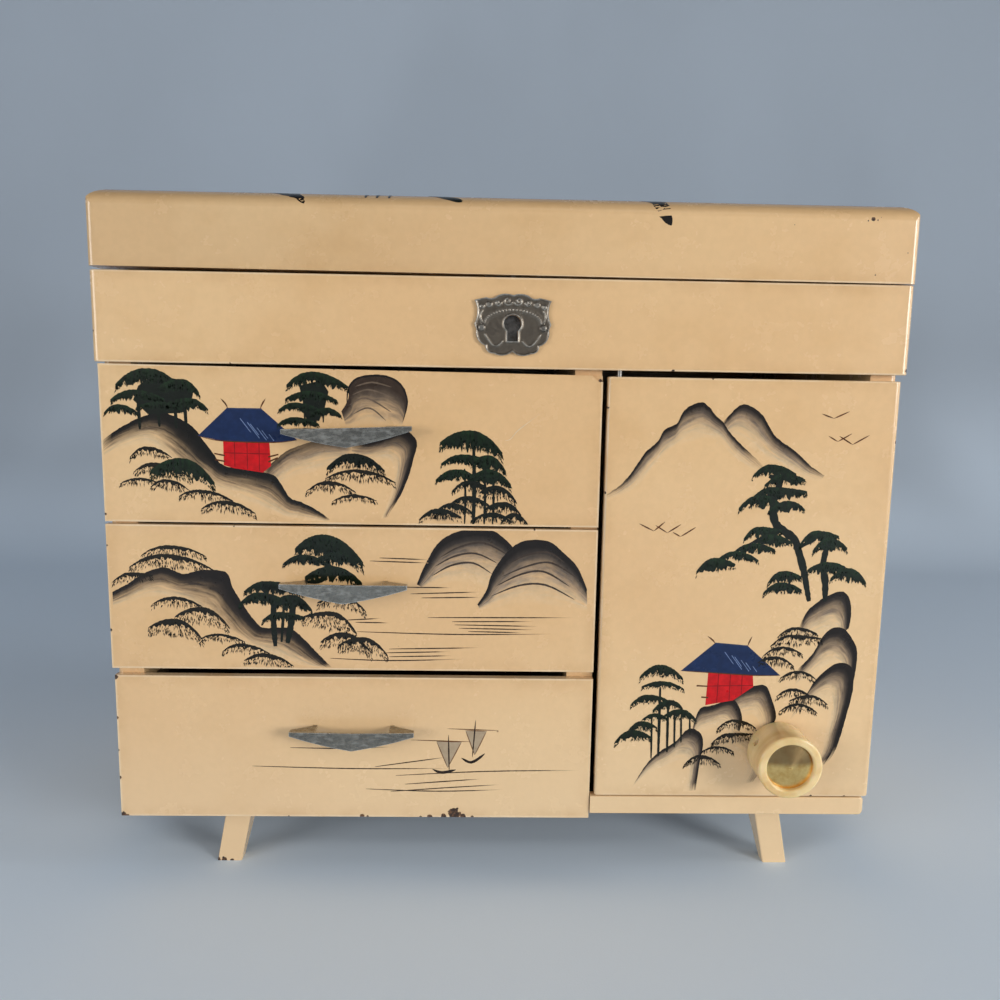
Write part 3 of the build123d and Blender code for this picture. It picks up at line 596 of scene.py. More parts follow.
def pavilion(p, ridge, tips, under, walls, horns, rails, wall_lines):
    """A small house: navy roof with curling horns, red walls under it, brown rails at its sides."""
    p.patch(walls, RED)
    for start, end in wall_lines:
        p.stroke((start, end), 0.32, RED_DEEP, flat=True)
    (la, lb), (ra, rb) = tips
    p.patch((tips[0], under[0], under[1], tips[1], ridge[1], ridge[0]), NAVY)
    for start, end in ((0.30, 0.72), (0.42, 0.9), (0.47, 0.8), (0.58, 0.96), (0.66, 0.9), (0.78, 0.98)):
        x = la + (ra - la) * (0.25 + 0.6 * start)
        z = ridge[0][1] + (under[0][1] - ridge[0][1]) * start
        drop = (ridge[0][1] - under[0][1]) * (end - start)
        p.stroke(((x, z), (x + 0.75 * drop, z - drop)), 0.2, ROOF_LINE, flat=True)
    p.stroke((ridge[0], ridge[1]), 0.4, linear("33405e"), flat=True)
    p.stroke((tips[0], under[0], under[1], tips[1]), 0.45, BROWN)
    for line in horns:
        p.stroke(line, 0.55, BROWN)
    p.rails(rails, 0.55)


def trunks(p, rows):
    """Straight trunks: (across, top, foot, width, lean at the foot)."""
    for x, top, foot, width, lean in rows:
        p.stroke(((x, top), (x + lean, foot)), width, PINE, tips=0.5)


def water(p, lines, dry):
    """Long thin lines where the water lies still."""
    for line in lines:
        p.stroke(line, 0.42, WATER, tips=0.25, dry=dry)


def birds(p, rows):
    """Far birds: two short strokes that meet in the middle point."""
    for line in rows:
        p.stroke(line[:2], 0.5, BROWN, tips=0.2)
        p.stroke(line[1:], 0.5, BROWN, tips=0.2)


def paint_drawer_top(p):
    pine = {"dense": 1.25, "green": 0.8, "drop": 2.2}
    p.wash(
        (
            (-59, 178), (-56.5, 182.5), (-56, 187), (-52.5, 190), (-47.5, 190.6), (-42.5, 191),
            (-39.5, 189), (-36, 186), (-35.5, 180.5),
        ),
        (
            (-57, 172), (-54, 172), (-51, 173), (-48, 173), (-45, 172), (-42, 172), (-40, 172),
            (-38.5, 172), (-37.5, 172),
        ),
        dark=linear("3a2c22"), mid=linear("8b7a69"), depth=0.75, fade=(0.0, 0.0),
    )
    for line in (
        ((-54, 187), (-48, 188.6), (-41, 187)),
        ((-55, 184), (-49, 186), (-40, 183)),
        ((-56, 180.5), (-50, 183), (-41, 178)),
        ((-55, 177), (-49, 179.5), (-43, 175)),
    ):
        p.stroke(line, 0.6, linear("6d5c4c"))
    p.stroke(
        (
            (-57, 180), (-56.3, 186.5), (-52.5, 190.2), (-44, 190.9), (-38, 188.2), (-35.4, 182),
            (-37, 174.6),
        ),
        0.8, ROCK,
    )
    p.wash(
        (
            (-56.5, 166.5), (-47.5, 167.5), (-39.5, 170.5), (-35.5, 171.5), (-32, 167.5), (-33.5, 161),
            (-35, 156), (-37.5, 149), (-42.5, 140),
        ),
        (
            (-60, 163), (-54, 160), (-48, 160), (-43, 160), (-41, 157), (-41, 153), (-41.5, 149),
            (-43, 144), (-45, 139),
        ),
        depth=0.55, fade=(0.12, 0.03),
    )
    p.stroke(
        ((-35.5, 171.3), (-32.2, 167.5), (-33.7, 161), (-35.2, 155.5), (-38, 148.5), (-42.8, 140)), 1.1,
        ROCK, dry=0.2,
    )
    p.wash(
        (
            (-88, 156), (-86.5, 157), (-82, 161), (-78, 164), (-72, 166.3), (-66, 168), (-60, 167.8),
            (-55, 167.5),
        ),
        ((-84, 147), (-80, 151), (-76, 154), (-72, 155), (-68, 156), (-64, 157), (-60, 158), (-56, 159)),
        dark=linear("30261e"), depth=0.35, strength=0.9,
    )
    p.wash(
        ((-145, 166), (-138, 171), (-129, 175.5), (-122.5, 176.5), (-117, 174.6), (-112, 171.5),
         (-108, 166), (-105, 162), (-102.5, 158.5), (-98, 157), (-92, 156.5), (-87, 155.5), (-83.5, 154.5),
         (-81, 151.5), (-78, 146.5), (-74, 145), (-70, 143), (-66, 140.5), (-63.5, 138.6)),
        ((-145, 159), (-138, 163), (-129, 165), (-123, 161), (-118, 156), (-113, 152), (-108, 150),
         (-103, 148), (-99, 146.5), (-95, 144.6), (-91, 143), (-87, 141),
         (-83, 139.8), (-80, 138.8), (-76, 138.4), (-73, 138), (-69, 138), (-65, 137.8)),
        dark=linear("15130f"), mid=SLOPE, depth=0.5, fade=(0.05, 0.02), heavy=(0.40, 0.13, 0.45),
    )
    pavilion(
        p,
        ridge=((-100, 178.5), (-87.5, 178.5)),
        tips=((-110.5, 168.5), (-75, 167.5)),
        under=((-102, 166.8), (-83.5, 166.5)),
        walls=((-101.5, 167), (-101.5, 158), (-98, 157), (-87.5, 155.5), (-84.5, 158), (-85, 166.8)),
        horns=(((-99.5, 178.3), (-100.2, 180), (-102, 182)), ((-88, 178.3), (-87.4, 180), (-86, 182.2))),
        rails=(
            ((-104.8, 162.2), (-101, 161.5)), ((-85.5, 161.2), (-81.8, 162.2)),
            ((-104.6, 160), (-101, 159.4)), ((-85.5, 159.4), (-82, 161)),
        ),
        wall_lines=(
            ((-97.5, 166.5), (-97.5, 157.5)), ((-93, 166.5), (-93, 156.6)), ((-88.7, 166.5), (-88.7, 156)),
            ((-101.3, 162.5), (-85, 162.3)),
        ),
    )
    p.patch(
        (
            (-133, 181), (-131, 186), (-125, 190), (-117, 188.5), (-111.5, 184.5), (-112.5, 180),
            (-116.5, 176.5), (-128, 176),
        ), PINE,
    )
    trunks(
        p,
        (
            (-131.3, 182, 170.5, 1.25, 0.3),
            (-124.3, 184, 171.5, 1.25, 0.3),
            (-118.3, 182, 171, 1.25, 0.3),
            (-114.8, 180, 171.5, 1.25, 0.3),
        ),
    )
    p.pads(
        (
            ((-139, 186.5), (-128, 192.3), (-117, 187.2)),
            ((-141, 181), (-133, 184.6), (-122, 181.5)),
            ((-143.4, 176.5), (-138.5, 179.4), (-131.5, 176.5)),
            ((-124, 186), (-115.5, 188.6), (-109.5, 184)),
            ((-123, 179), (-113, 182), (-106.5, 178)),
            ((-132, 178.5), (-124, 180.5), (-116, 178)),
        ),
        **pine,
    )
    p.pads(
        (
            ((-135, 160.5), (-129, 164.4), (-120, 160.5)),
            ((-134, 155), (-127, 158.6), (-113, 153.0)),
            ((-139, 150.8), (-132, 153), (-124.5, 151)),
            ((-128, 150), (-122.5, 152.6), (-114, 148.5)),
            ((-118, 146.5), (-111, 149), (-98.5, 145)),
            ((-110, 142.2), (-102, 145.1), (-90.5, 140.5)),
        )
    )
    p.pad((-128, 155.6), (-117, 160.4), (-105, 151.6), dense=1.0, green=1.0)
    p.patch(
        ((-74, 187), (-66, 189), (-63.5, 185), (-65, 179), (-67, 174.5), (-71.5, 174.5), (-72.5, 181)),
        PINE,
    )
    p.stroke(((-69, 186), (-68.7, 180), (-68.3, 172.5)), 1.3, PINE, tips=0.5)
    p.stroke(((-72.5, 184), (-72, 174)), 0.8, PINE, tips=0.5)
    p.stroke(((-65.5, 184), (-65.5, 174)), 0.7, PINE, tips=0.5)
    p.pads(
        (
            ((-78.5, 187.3), (-69.5, 192), (-56.5, 187)),
            ((-79, 182.3), (-70.5, 185.2), (-60.5, 182)),
            ((-81.5, 178.2), (-75.5, 181), (-66, 178.2)),
            ((-82, 173), (-76, 175.8), (-67, 173.4)),
            ((-70, 177), (-64.5, 179.4), (-59, 176.6)),
        ),
        **pine,
    )
    p.pads(
        (
            ((-65, 153.8), (-54, 157.2), (-39.5, 152.6)),
            ((-72, 148.8), (-64, 152.8), (-54, 148.8)),
            ((-62.5, 145.4), (-55, 148), (-46.5, 145.8)),
        )
    )
    p.pad((-64.5, 157.6), (-55, 163), (-43.5, 157), dense=0.9)
    for x, top, foot, size in (
        (-11.3, 166, 137.6, 1.5), (-7.3, 160, 137.6, 1.0), (-4.2, 158, 137.6, 0.9),
        (-14.5, 158, 137.6, 0.8),
    ):
        p.stroke(((x, top), (x + 0.4, (top + foot) / 2), (x + 0.2, foot)), size, PINE, tips=0.5)
    p.pads(
        (
            ((-23.5, 167.5), (-13, 172), (-0.8, 164)),
            ((-23, 159.8), (-15.5, 163.2), (-3, 160)),
            ((-12, 161), (-6, 163), (0.5, 157.5)),
            ((-25, 153.8), (-17.5, 157.8), (-9, 154)),
            ((-12, 154.8), (-6, 158), (2.5, 152.5)),
        ),
        **pine,
    )
    p.pads(
        (
            ((-19, 149.8), (-13, 153.6), (-4, 149.5)),
            ((-9, 149.4), (-3, 152), (4.5, 146.4)),
            ((-20, 144.6), (-13.5, 148), (-4.5, 144)),
            ((-7, 143.4), (0, 146), (6.5, 141.2)),
            ((-25, 142.2), (-19, 145.3), (-11, 141.6)),
            ((-31, 139), (-24, 143.2), (-15.5, 140.2)),
            ((-12, 139), (-4, 142), (3, 138.6)),
            ((-1, 138.4), (3.5, 142), (9, 137.9)),
        ),
        dense=0.6,
    )
    p.stroke(((0, 168.5), (2, 169), (5, 172.5), (13.5, 179)), 0.3, CREAM_EDGE, cover=0.75, dry=0.6)


def paint_drawer_middle(p):
    p.pads(
        (
            ((-132.5, 124.5), (-122.5, 128.3), (-109, 124.4)),
            ((-137, 120), (-124.5, 125), (-106, 119)),
        )
    )
    p.wash(
        ((-143.6, 110.5), (-138, 113.5), (-132, 117.5), (-124.5, 120), (-117.5, 117.5), (-111.5, 119),
         (-102, 118.5), (-99.5, 112.5), (-96, 106.5), (-92.5, 101), (-89, 97.5), (-84, 97.5),
         (-78, 97), (-73, 92.5), (-68, 87), (-63.5, 82.4)),
        ((-143.6, 104), (-138, 106), (-131, 108.5), (-124, 108), (-118.5, 106), (-113, 102.5),
         (-108, 99), (-104, 96), (-100, 92.5), (-96, 90), (-92, 88), (-88, 86.5),
         (-83, 85), (-79, 84), (-75, 83), (-70, 82.4)),
        mid=SLOPE, depth=0.5, fade=(0.0, 0.02), heavy=(0.50, 0.14, 0.35),
    )
    p.pads(
        (
            ((-143.6, 114), (-136.5, 118), (-128.5, 117)),
            ((-129.5, 105.8), (-121.5, 109), (-110.5, 105)),
            ((-121, 101.6), (-111.5, 105.2), (-101, 97.2)),
            ((-131, 97.2), (-121.5, 100.6), (-111, 92.6)),
            ((-112.5, 92.6), (-106, 95), (-95.5, 92)),
            ((-104, 88.2), (-97.5, 91.3), (-86, 87.2)),
            ((-96, 84.8), (-89, 87.6), (-77.5, 82.6)),
        )
    )
    p.pads(
        (
            ((-68.5, 107.4), (-60, 110), (-50.5, 104)),
            ((-74, 101.8), (-64, 104), (-54, 95.8)),
            ((-67.5, 92.4), (-59.5, 96), (-48.5, 88.2)),
            ((-61, 91), (-52, 94.2), (-42.5, 87.2)),
        )
    )
    p.stroke(((-84.5, 109), (-84.8, 100), (-84.3, 90.3)), 2.2, PINE, tips=0.6)
    p.stroke(((-77.3, 109), (-78.2, 100), (-79.8, 91.6)), 2.4, PINE, tips=0.6)
    p.stroke(((-80.8, 107), (-81.5, 98), (-82, 92)), 1.1, PINE, tips=0.6)
    p.pads(
        (
            ((-95.5, 111.2), (-87, 115.3), (-73, 111)),
            ((-97.5, 106.2), (-90, 111), (-79, 107)),
            ((-85, 107), (-78, 110.2), (-70.5, 104.4)),
            ((-89, 100.2), (-82.5, 103.6), (-73, 101.6)),
        ),
        dense=1.3, green=0.5, drop=2.2,
    )
    p.stroke(((-65.2, 128), (-64.6, 121.5), (-66.5, 116), (-72, 115)), 1.9, PINE, tips=0.5)
    p.stroke(((-64.8, 123), (-61, 118.5), (-56, 116.4)), 1.2, PINE, tips=0.4)
    p.pads(
        (
            ((-76.5, 127.6), (-66.5, 133), (-51.5, 122.8)),
            ((-81, 121.8), (-73.5, 125.4), (-65, 122.4)),
            ((-68, 124.5), (-60, 126.4), (-53.5, 121.4)),
            ((-73, 117), (-63, 121.2), (-52, 115)),
        ),
        dense=1.2, green=0.4, drop=2.2,
    )
    for crest, foot, arcs in (
        (
            (
                (-31.5, 114.5), (-27.5, 123.5), (-22.5, 131), (-14, 135), (-5.5, 135.2), (-0.5, 132.5),
                (3.5, 128.5), (5, 124),
            ),
            ((-29, 113), (-25, 114), (-21, 115), (-15, 115), (-10, 114), (-5.5, 113), (-1, 115), (2, 118)),
            (((-23, 125), (-16, 129), (-7, 130.6), (2, 126)), ((-25, 121.5), (-18, 125.4), (-10, 126.6),
            (-2, 123)),
             ((-26, 118), (-19, 122), (-11, 123), (-4, 119))),
        ),
        (
            (
                (-9, 107), (-5.5, 112.5), (-3.5, 119), (2, 127), (8, 131), (16.5, 131), (22.5, 126.5),
                (27.5, 121.5), (31.5, 113),
            ),
            (
                (-8, 105), (-4, 105.6), (1, 106.5), (6, 107), (12, 107), (18, 106.5), (23, 106),
                (28, 105.4), (32, 105),
            ),
            (((1, 122), (8, 126), (16.5, 127.4), (23, 123.5)), ((0, 118), (9, 122), (18, 123.4), (28, 117.5)),
             ((-2, 114.5), (7, 119), (15.5, 120), (25, 114.5)), ((-4, 110.5), (6, 114.6), (16, 115),
              (27, 109.5))),
        ),
    ):
        p.wash(crest, foot, mid=linear("84766a"), depth=0.5, fade=(0.0, 0.0))
        for arc in arcs:
            p.stroke(arc, 0.75, linear("43372e"))
        p.stroke(crest, 1.1, ROCK, tips=0.4)
    lines = (
        (
            (-45.5, 124.5), (-27.5, 124),
        ), ((-49, 123.3), (-27.5, 122.8)), ((-37, 113.5), (-19, 113.5)), ((-34, 111), (-8, 112)),
        ((-30, 109.5), (-7.5, 110)), ((-58, 100.7), (-45, 101.5)), ((-54.5, 99.9), (-42, 99.8)), (
            (-27.5, 102), (26.5, 102.5),
        ),
        (
            (-18.5, 100.5), (12, 100.9),
        ), ((-17.5, 99.3), (13.5, 99)), ((-16, 98), (12.5, 97.7)), ((-12.5, 96.8), (7.5, 96.5)),
        ((-54, 96.3), (-17.5, 95.6), (18.5, 96.1)), ((-42, 89.7), (-8.5, 90.5)), ((-43.5, 88.2), (-19, 88.9)),
        ((-42, 86.7), (-18.5, 87.3)), ((-64, 85.9), (-42, 85.2), (-15, 86)),
    )
    water(p, lines, 0.25)


def boat(p, yard, sail, mast, hull):
    p.patch(sail, SAIL, 0.7)
    for a, b in zip(sail, sail[1:] + sail[:1]):
        p.stroke((a, b), 0.4, BROWN, cover=0.9)
    p.stroke(yard, 0.34, BROWN)
    p.stroke(mast, 0.55, linear("33241a"))
    p.stroke(hull, 1.2, linear("2b2019"))


def paint_drawer_bottom(p):
    lines = (
        (
            (-79.5, 50.5), (-60, 50.3), (-41.5, 51),
        ), ((-94, 43), (-56, 42.2), (-19, 42.5)), ((-47.5, 43), (-20.5, 47)),
        (
            (-39.5, 39.5), (-5, 41.4), (30.5, 42),
        ), ((-36, 36), (-7, 38.3)), ((-51, 34), (-24, 33.2), (1.5, 34)), ((-41.5, 33), (-18, 34.8),
        (0.5, 36)),
    )
    water(p, lines, 0.2)
    boat(
        p,
        yard=((-34, 53.9), (-11, 53.3)),
        sail=((-24, 53.4), (-19.7, 42.8), (-14.5, 53.2)),
        mast=((-19.5, 56), (-19.1, 41.4)),
        hull=((-25.5, 42.2), (-22, 40.8), (-16.5, 42)),
    )
    boat(
        p,
        yard=((-20, 58.5), (-0.5, 57.9)),
        sail=((-13, 57.8), (-9.4, 48), (-5, 57.6)),
        mast=((-9.2, 62), (-10.3, 47)),
        hull=((-14.5, 46.8), (-10.5, 45), (-5.5, 48.6)),
    )


def paint_door(p):
    p.wash(
        ((79, 176.5), (82, 180), (84, 182), (86.5, 183), (89.5, 182), (93.5, 179), (96, 175),
         (98.5, 171.5), (102, 169), (106.5, 166),
         (112, 161), (117.5, 157.5)),
        (
            (76, 166), (79, 168), (82, 170), (85, 170), (88, 168), (91, 166), (94, 164), (97, 162),
            (101, 160), (105, 158), (110, 156), (116, 155),
        ),
        depth=0.35, fade=(0.05, 0.15),
    )
    p.wash(
        ((37.5, 149.5), (42, 152.5), (46, 157), (49.5, 162.5), (51.5, 165.5), (55.5, 169), (57.5, 173),
         (60, 174.5), (62.5, 176), (64, 179.5),
         (66.5, 182), (71, 183.5), (74, 181.5), (76, 179), (79, 176.5), (81.5, 173), (86, 168.5),
         (90.5, 164.5), (94.5, 161)),
        ((38, 147), (43, 149), (47.5, 151.5), (51, 155), (54, 159), (57, 162), (60, 165), (63, 167),
         (66, 168), (69, 169), (72, 169.5), (74, 169.5),
         (76, 169.5), (78, 169), (80, 167.5), (82, 165), (85, 162.5), (89, 160), (93, 158)),
        depth=0.38, fade=(0.12, 0.12),
    )
    rows = (
        (
            (115, 180), (119.5, 178.4), (125, 181),
        ), ((118, 172), (121.5, 170), (126.5, 173)), ((122, 172), (127, 169), (133, 172.5)),
        ((50, 138.7), (55.5, 136), (59.5, 139.5)), (
            (56, 138.2), (60.5, 135.4), (65.5, 138.6),
        ), ((62.5, 135.7), (65.5, 134), (71, 137.6)),
    )
    birds(p, rows)
    p.wash(
        (
            (112, 100), (114.5, 106), (118.5, 110), (123.5, 113), (127.5, 114), (129.5, 111.5),
            (130.5, 105.5), (130.5, 99.5),
        ),
        ((112, 92), (115, 95), (118, 96), (121, 97), (123.5, 98), (125, 99), (126, 98), (127, 96)),
        depth=0.45, fade=(0.1, 0.0),
    )
    p.stroke(((127.5, 114), (129.8, 111), (130.7, 105), (130.6, 99.5)), 1.3, ROCK)
    p.wash(
        (
            (112, 82.5), (113.5, 84.5), (118, 90), (121, 96), (124.5, 99), (128.5, 99), (131.5, 95.5),
            (134, 90), (134, 84), (133.5, 78.5),
        ),
        (
            (112, 76), (115, 79), (118, 81), (120.5, 82.5), (123, 84), (125, 85), (127, 85), (128.5, 83),
            (129, 80), (129, 77),
        ),
        depth=0.5, fade=(0.08, 0.0),
    )
    p.stroke(((121, 96), (124.5, 99.2), (128.5, 99.2), (131.7, 95.5), (134.2, 90), (134, 78.5)), 1.4, ROCK)
    p.wash(
        (
            (113, 68), (117, 74.5), (119.5, 79), (124.5, 83.5), (128.5, 85.5), (132.5, 84), (133.3, 77.5),
            (132.2, 68), (130.5, 60), (129, 52), (125.5, 45.5),
        ),
        (
            (110, 62), (113, 65), (116, 68), (119, 70), (122, 71), (124, 70), (125, 66), (125, 61),
            (124, 56), (122.5, 50), (120, 45),
        ),
        depth=0.5, fade=(0.08, 0.04),
    )
    p.stroke(
        (
            (119.5, 79), (124.5, 83.7), (128.5, 85.7), (132.6, 84), (133.6, 77), (132.3, 68), (129, 52),
            (125.5, 45.5),
        ),
        1.5, ROCK, dry=0.15,
    )
    p.wash(
        ((86, 69), (88, 71), (90, 74), (95, 76.5), (100.5, 77), (103, 72.5), (105.5, 64.5), (103, 60)),
        ((86, 62), (88, 63), (90, 64), (93, 64.5), (96, 65), (98, 63), (99, 60), (99, 57)),
        depth=0.5,
    )
    p.wash(
        ((73.5, 59.5), (76, 67.5), (81, 69), (88, 71.5), (91, 68.5), (92.5, 63), (91, 56)),
        ((73, 53), (75, 57), (79, 59), (83, 60), (86, 59), (88, 56), (88, 52)),
        depth=0.5,
    )
    p.wash(
        (
            (52.5, 38), (56.5, 45), (61, 50), (67, 54), (72, 59.5), (76.5, 58), (78, 53.5), (77, 45.5),
            (76, 34.5),
        ),
        ((51, 35), (55, 39), (59, 42), (64, 44), (68, 46), (71, 46), (72, 43), (72, 39), (71, 34)),
        depth=0.4, fade=(0.06, 0.06),
    )
    p.wash(
        ((89.5, 60), (93, 58), (97.5, 55), (101, 50), (101, 44), (98, 38)),
        ((88, 52), (90, 50), (92, 48), (94, 45), (94, 41), (93, 37)),
        depth=0.3, strength=0.6, dark=linear("4a3c30"),
    )
    pavilion(
        p,
        ridge=((80.5, 93.5), (93, 92.5)),
        tips=((68, 82.5), (106, 81)),
        under=((76, 82.1), (95.5, 81)),
        walls=((78.5, 82.2), (78, 69), (88.5, 71), (96, 76.5), (95.5, 81.4)),
        horns=(((80.6, 93.2), (79.6, 94.6), (77.5, 96.2)), ((92.9, 92.3), (93.4, 94), (94.4, 96.2))),
        rails=(((74.3, 76.7), (78.5, 76.5)), ((76.3, 72.2), (79, 72))),
        wall_lines=(
            ((82.5, 82), (82.3, 70)), ((87, 81.8), (87, 71)), ((91.5, 81.6), (91.5, 73.4)),
            ((78.4, 76.6), (95.8, 77)),
        ),
    )
    trunk = (
        (97, 157), (101, 155), (99.5, 149), (99.3, 144.5), (100.5, 139.5), (104, 136.5), (108, 133.5),
        (110, 128.5), (112, 122.5), (113.5, 116.5), (115, 110),
    )
    p.stroke(trunk, 3.0, PINE, tips=0.45)
    p.stroke(((109, 130), (114, 133), (118, 136)), 1.6, PINE, tips=0.4)
    p.stroke(((120.5, 132), (119.3, 124), (120.6, 117.5), (121, 110)), 2.6, PINE, tips=0.5)
    p.stroke(((103, 137), (97, 134.5), (90, 130.5)), 1.5, PINE, tips=0.4)
    p.pads(
        (
            ((91, 157), (97.5, 161.3), (107, 158)),
            ((95.5, 153.6), (103, 158), (110.5, 156)),
            ((91, 148.6), (98.5, 153), (111.5, 151.6)),
            ((86.5, 145), (94, 150), (102, 147)),
            ((97.5, 144), (105, 148), (111, 145)),
            ((89, 133.6), (94.5, 138.2), (103, 137)),
            ((93.5, 131), (99, 135.4), (107, 132.6)),
            ((85.5, 128.4), (92.5, 132), (101, 129.6)),
            ((79.5, 125.4), (86, 128.8), (95, 125.6)),
            ((72, 121), (78.5, 126.2), (86.5, 124)),
            ((110, 131.6), (116, 137), (124.5, 135)),
            ((115, 129.4), (121, 134.2), (128, 130.6)),
            ((113.5, 122), (121.5, 125.2), (131.5, 120.4)),
            ((122.5, 119), (129, 123), (136, 117.6)),
            ((99, 117), (104.5, 121.6), (111.5, 119.6)),
            ((97.5, 113), (104, 117.2), (112, 114.4)),
        ),
        dense=1.15, green=0.8, drop=1.9,
    )
    p.pads(
        (
            ((104, 96), (110.5, 100), (119, 97.6)),
            ((101.5, 92.4), (109, 97), (121, 95.8)),
            ((99, 88.8), (106, 92.4), (114, 89.4)),
            ((97, 86), (103.5, 88.6), (111, 84.6)),
            ((106, 80), (113, 83), (120, 79.4)),
            ((105, 72.6), (111, 76), (118, 73)),
            ((110, 71), (117.5, 73.4), (125, 69.6)),
            ((106.5, 66.6), (113, 70), (121, 66.6)),
            ((83, 59.6), (89.5, 63.4), (98, 60)),
            ((81, 53.6), (88.5, 58), (97, 57.8)),
            ((77, 50), (83.5, 52.6), (90, 50.4)),
            ((71, 45), (77, 49), (85, 45.4)),
        )
    )
    trunks(
        p,
        (
            (60.5, 76, 48.5, 1.1, 0.4),
            (57.8, 64, 47.4, 0.8, 0.4),
            (63.8, 70, 50, 1.0, 0.4),
            (66.5, 66, 52, 0.8, 0.4),
            (69, 65, 54, 0.8, 0.4),
            (72.3, 64, 57, 0.7, 0.4),
        ),
    )
    p.pads(
        (
            ((52.5, 80), (60, 84.8), (69, 79.6)),
            ((53.5, 76.2), (61, 78.4), (69.5, 75.4)),
            ((49.5, 69), (56, 73), (63.5, 71)),
            ((58, 67), (64.5, 71), (69.5, 67.8)),
            ((54, 63), (59, 65.6), (63.5, 64)),
            ((62, 64.4), (68.5, 67.4), (75, 63)),
            ((48.5, 58), (54, 62.4), (60, 60)),
            ((44, 54), (50.5, 58.9), (58, 56)),
        ),
        dense=0.85, green=0.6, drop=1.7,
    )


def lid_face(across=9.0, down=6.0):
    """Places on the lid: across, and back from its front edge, rounded like a quarter of an ellipse."""
    low, high = (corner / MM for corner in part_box("lid_panel"))

    def place(x, z, height):
        out = min(max(0.0, across - z) / across, 1.0)
        rise = math.sqrt(1 - out**2)
        spot = Vector((x + 0.5, low[1] + max(z, 0.0), high[2] - down * (1 - rise) + min(z, 0.0)))
        return (spot + Vector((0, -out / across, rise / down)).normalized() * height) * MM

    return place


def paint_lid(p):
    """The lid's own landscape, which only shows at its front edge from a low viewpoint."""
    p.wash(
        ((-128, 84), (-120, 92), (-112, 101), (-101, 104), (-92, 98), (-84, 90), (-74, 84), (-64, 78)),
        ((-130, 62), (-120, 68), (-112, 74), (-101, 76), (-92, 72), (-84, 66), (-74, 62), (-64, 60)),
        depth=0.4,
    )
    p.wash(
        ((-76, 74), (-64, 84), (-52, 92), (-40, 90), (-30, 80), (-20, 68)),
        ((-74, 58), (-62, 64), (-52, 68), (-40, 66), (-30, 60), (-20, 56)),
        depth=0.4, strength=0.9,
    )
    p.wash(
        ((22, 112), (36, 122), (48, 133), (56, 137), (64, 130), (74, 121), (88, 112)),
        ((22, 104), (36, 108), (48, 114), (56, 116), (64, 112), (74, 108), (88, 104)),
        depth=0.35, strength=0.8,
    )
    p.wash(
        ((60, 52), (70, 62), (84, 70), (98, 72), (110, 66), (120, 54), (128, 40)),
        ((62, 30), (72, 36), (84, 40), (98, 42), (110, 38), (118, 30), (124, 22)),
        depth=0.5,
    )
    p.stroke(((-96, 20), (-88, 16), (-80, 8), (-71, 0.4)), 5.0, INK, tips=0.1)
    p.stroke(((-86, 9), (-80, 5), (-73, 1.5)), 2.4, INK, tips=0.1)
    p.stroke(((40, 20), (48, 11), (53, 3), (57, -3.4)), 6.0, INK, tips=0.06)
    pavilion(
        p,
        ridge=((-58, 62), (-42, 62)),
        tips=((-68, 48), (-32, 48)),
        under=((-62, 46.5), (-38, 46.5)),
        walls=((-60, 47), (-60, 34), (-40, 34), (-40, 47)),
        horns=(((-58, 62), (-59, 65), (-61.5, 67)), ((-42, 62), (-41, 65), (-38.5, 67))),
        rails=(
            ((-65, 40), (-60, 39.6)), ((-40, 39.6), (-35, 40)), ((-65, 37), (-60, 36.6)),
            ((-40, 36.6), (-35, 37)),
        ),
        wall_lines=(
            ((-55, 46), (-55, 34)), ((-50, 46), (-50, 34)), ((-45, 46), (-45, 34)),
            ((-60, 40.5), (-40, 40.5)),
        ),
    )
    for x, foot, tall in ((-92, 92, 34), (-85, 86, 26), (-98, 96, 22), (92, 60, 36), (99, 58, 28)):
        p.stroke(((x, foot + tall), (x + 1.2, foot + tall / 2), (x - 0.6, foot)), 1.9, PINE, tips=0.5)
        for share, reach in ((1.0, 10), (0.72, 12), (0.45, 9)):
            z = foot + tall * share
            p.pad(
                (x - reach, z - 3), (x + 0.5, z + 1.5), (x + reach * 0.9, z - 3.6), dense=0.95, green=0.7,
                drop=2.0,
            )
    rows = (
        ((-40, 22), 12), ((-27, 17), 13), ((-46, 27), 9), ((-120, 58), 14), ((-108, 52), 12),
         ((78, 34), 15), ((96, 30), 13),
        ((110, 34), 12), ((-88, 40), 12), ((-101, 30), 14),
    )
    for (x, z), wide in rows:
        p.pad((x - wide / 2, z), (x, z + 4), (x + wide / 2, z - 0.6))
    for x in (-50.6, -46.6, -42.4):
        p.stroke(((x, 12), (x + 0.6, 7), (x + 0.4, 2.4)), 1.0, PINE, tips=0.5)
    p.stroke(((-29, 9), (-23, 4.4), (-16.4, 1.6)), 3.0, PINE, tips=0.2)
    for x, z, wide in (
        (0, 60, 44), (6, 56, 60), (-2, 52, 40), (10, 84, 52), (4, 80, 34), (16, 40, 60), (20, 36, 38),
        (12, 24, 44),
    ):
        p.stroke(
            ((x - wide / 2, z), (x, z - 0.5), (x + wide / 2, z + 0.3)), 0.5, linear("2e2018"), tips=0.25,
            dry=0.25,
        )
    birds(p, [((x - 5, z + 1.5), (x, z), (x + 5.5, z + 2)) for x, z in ((0, 118), (8, 124), (-8, 127))])


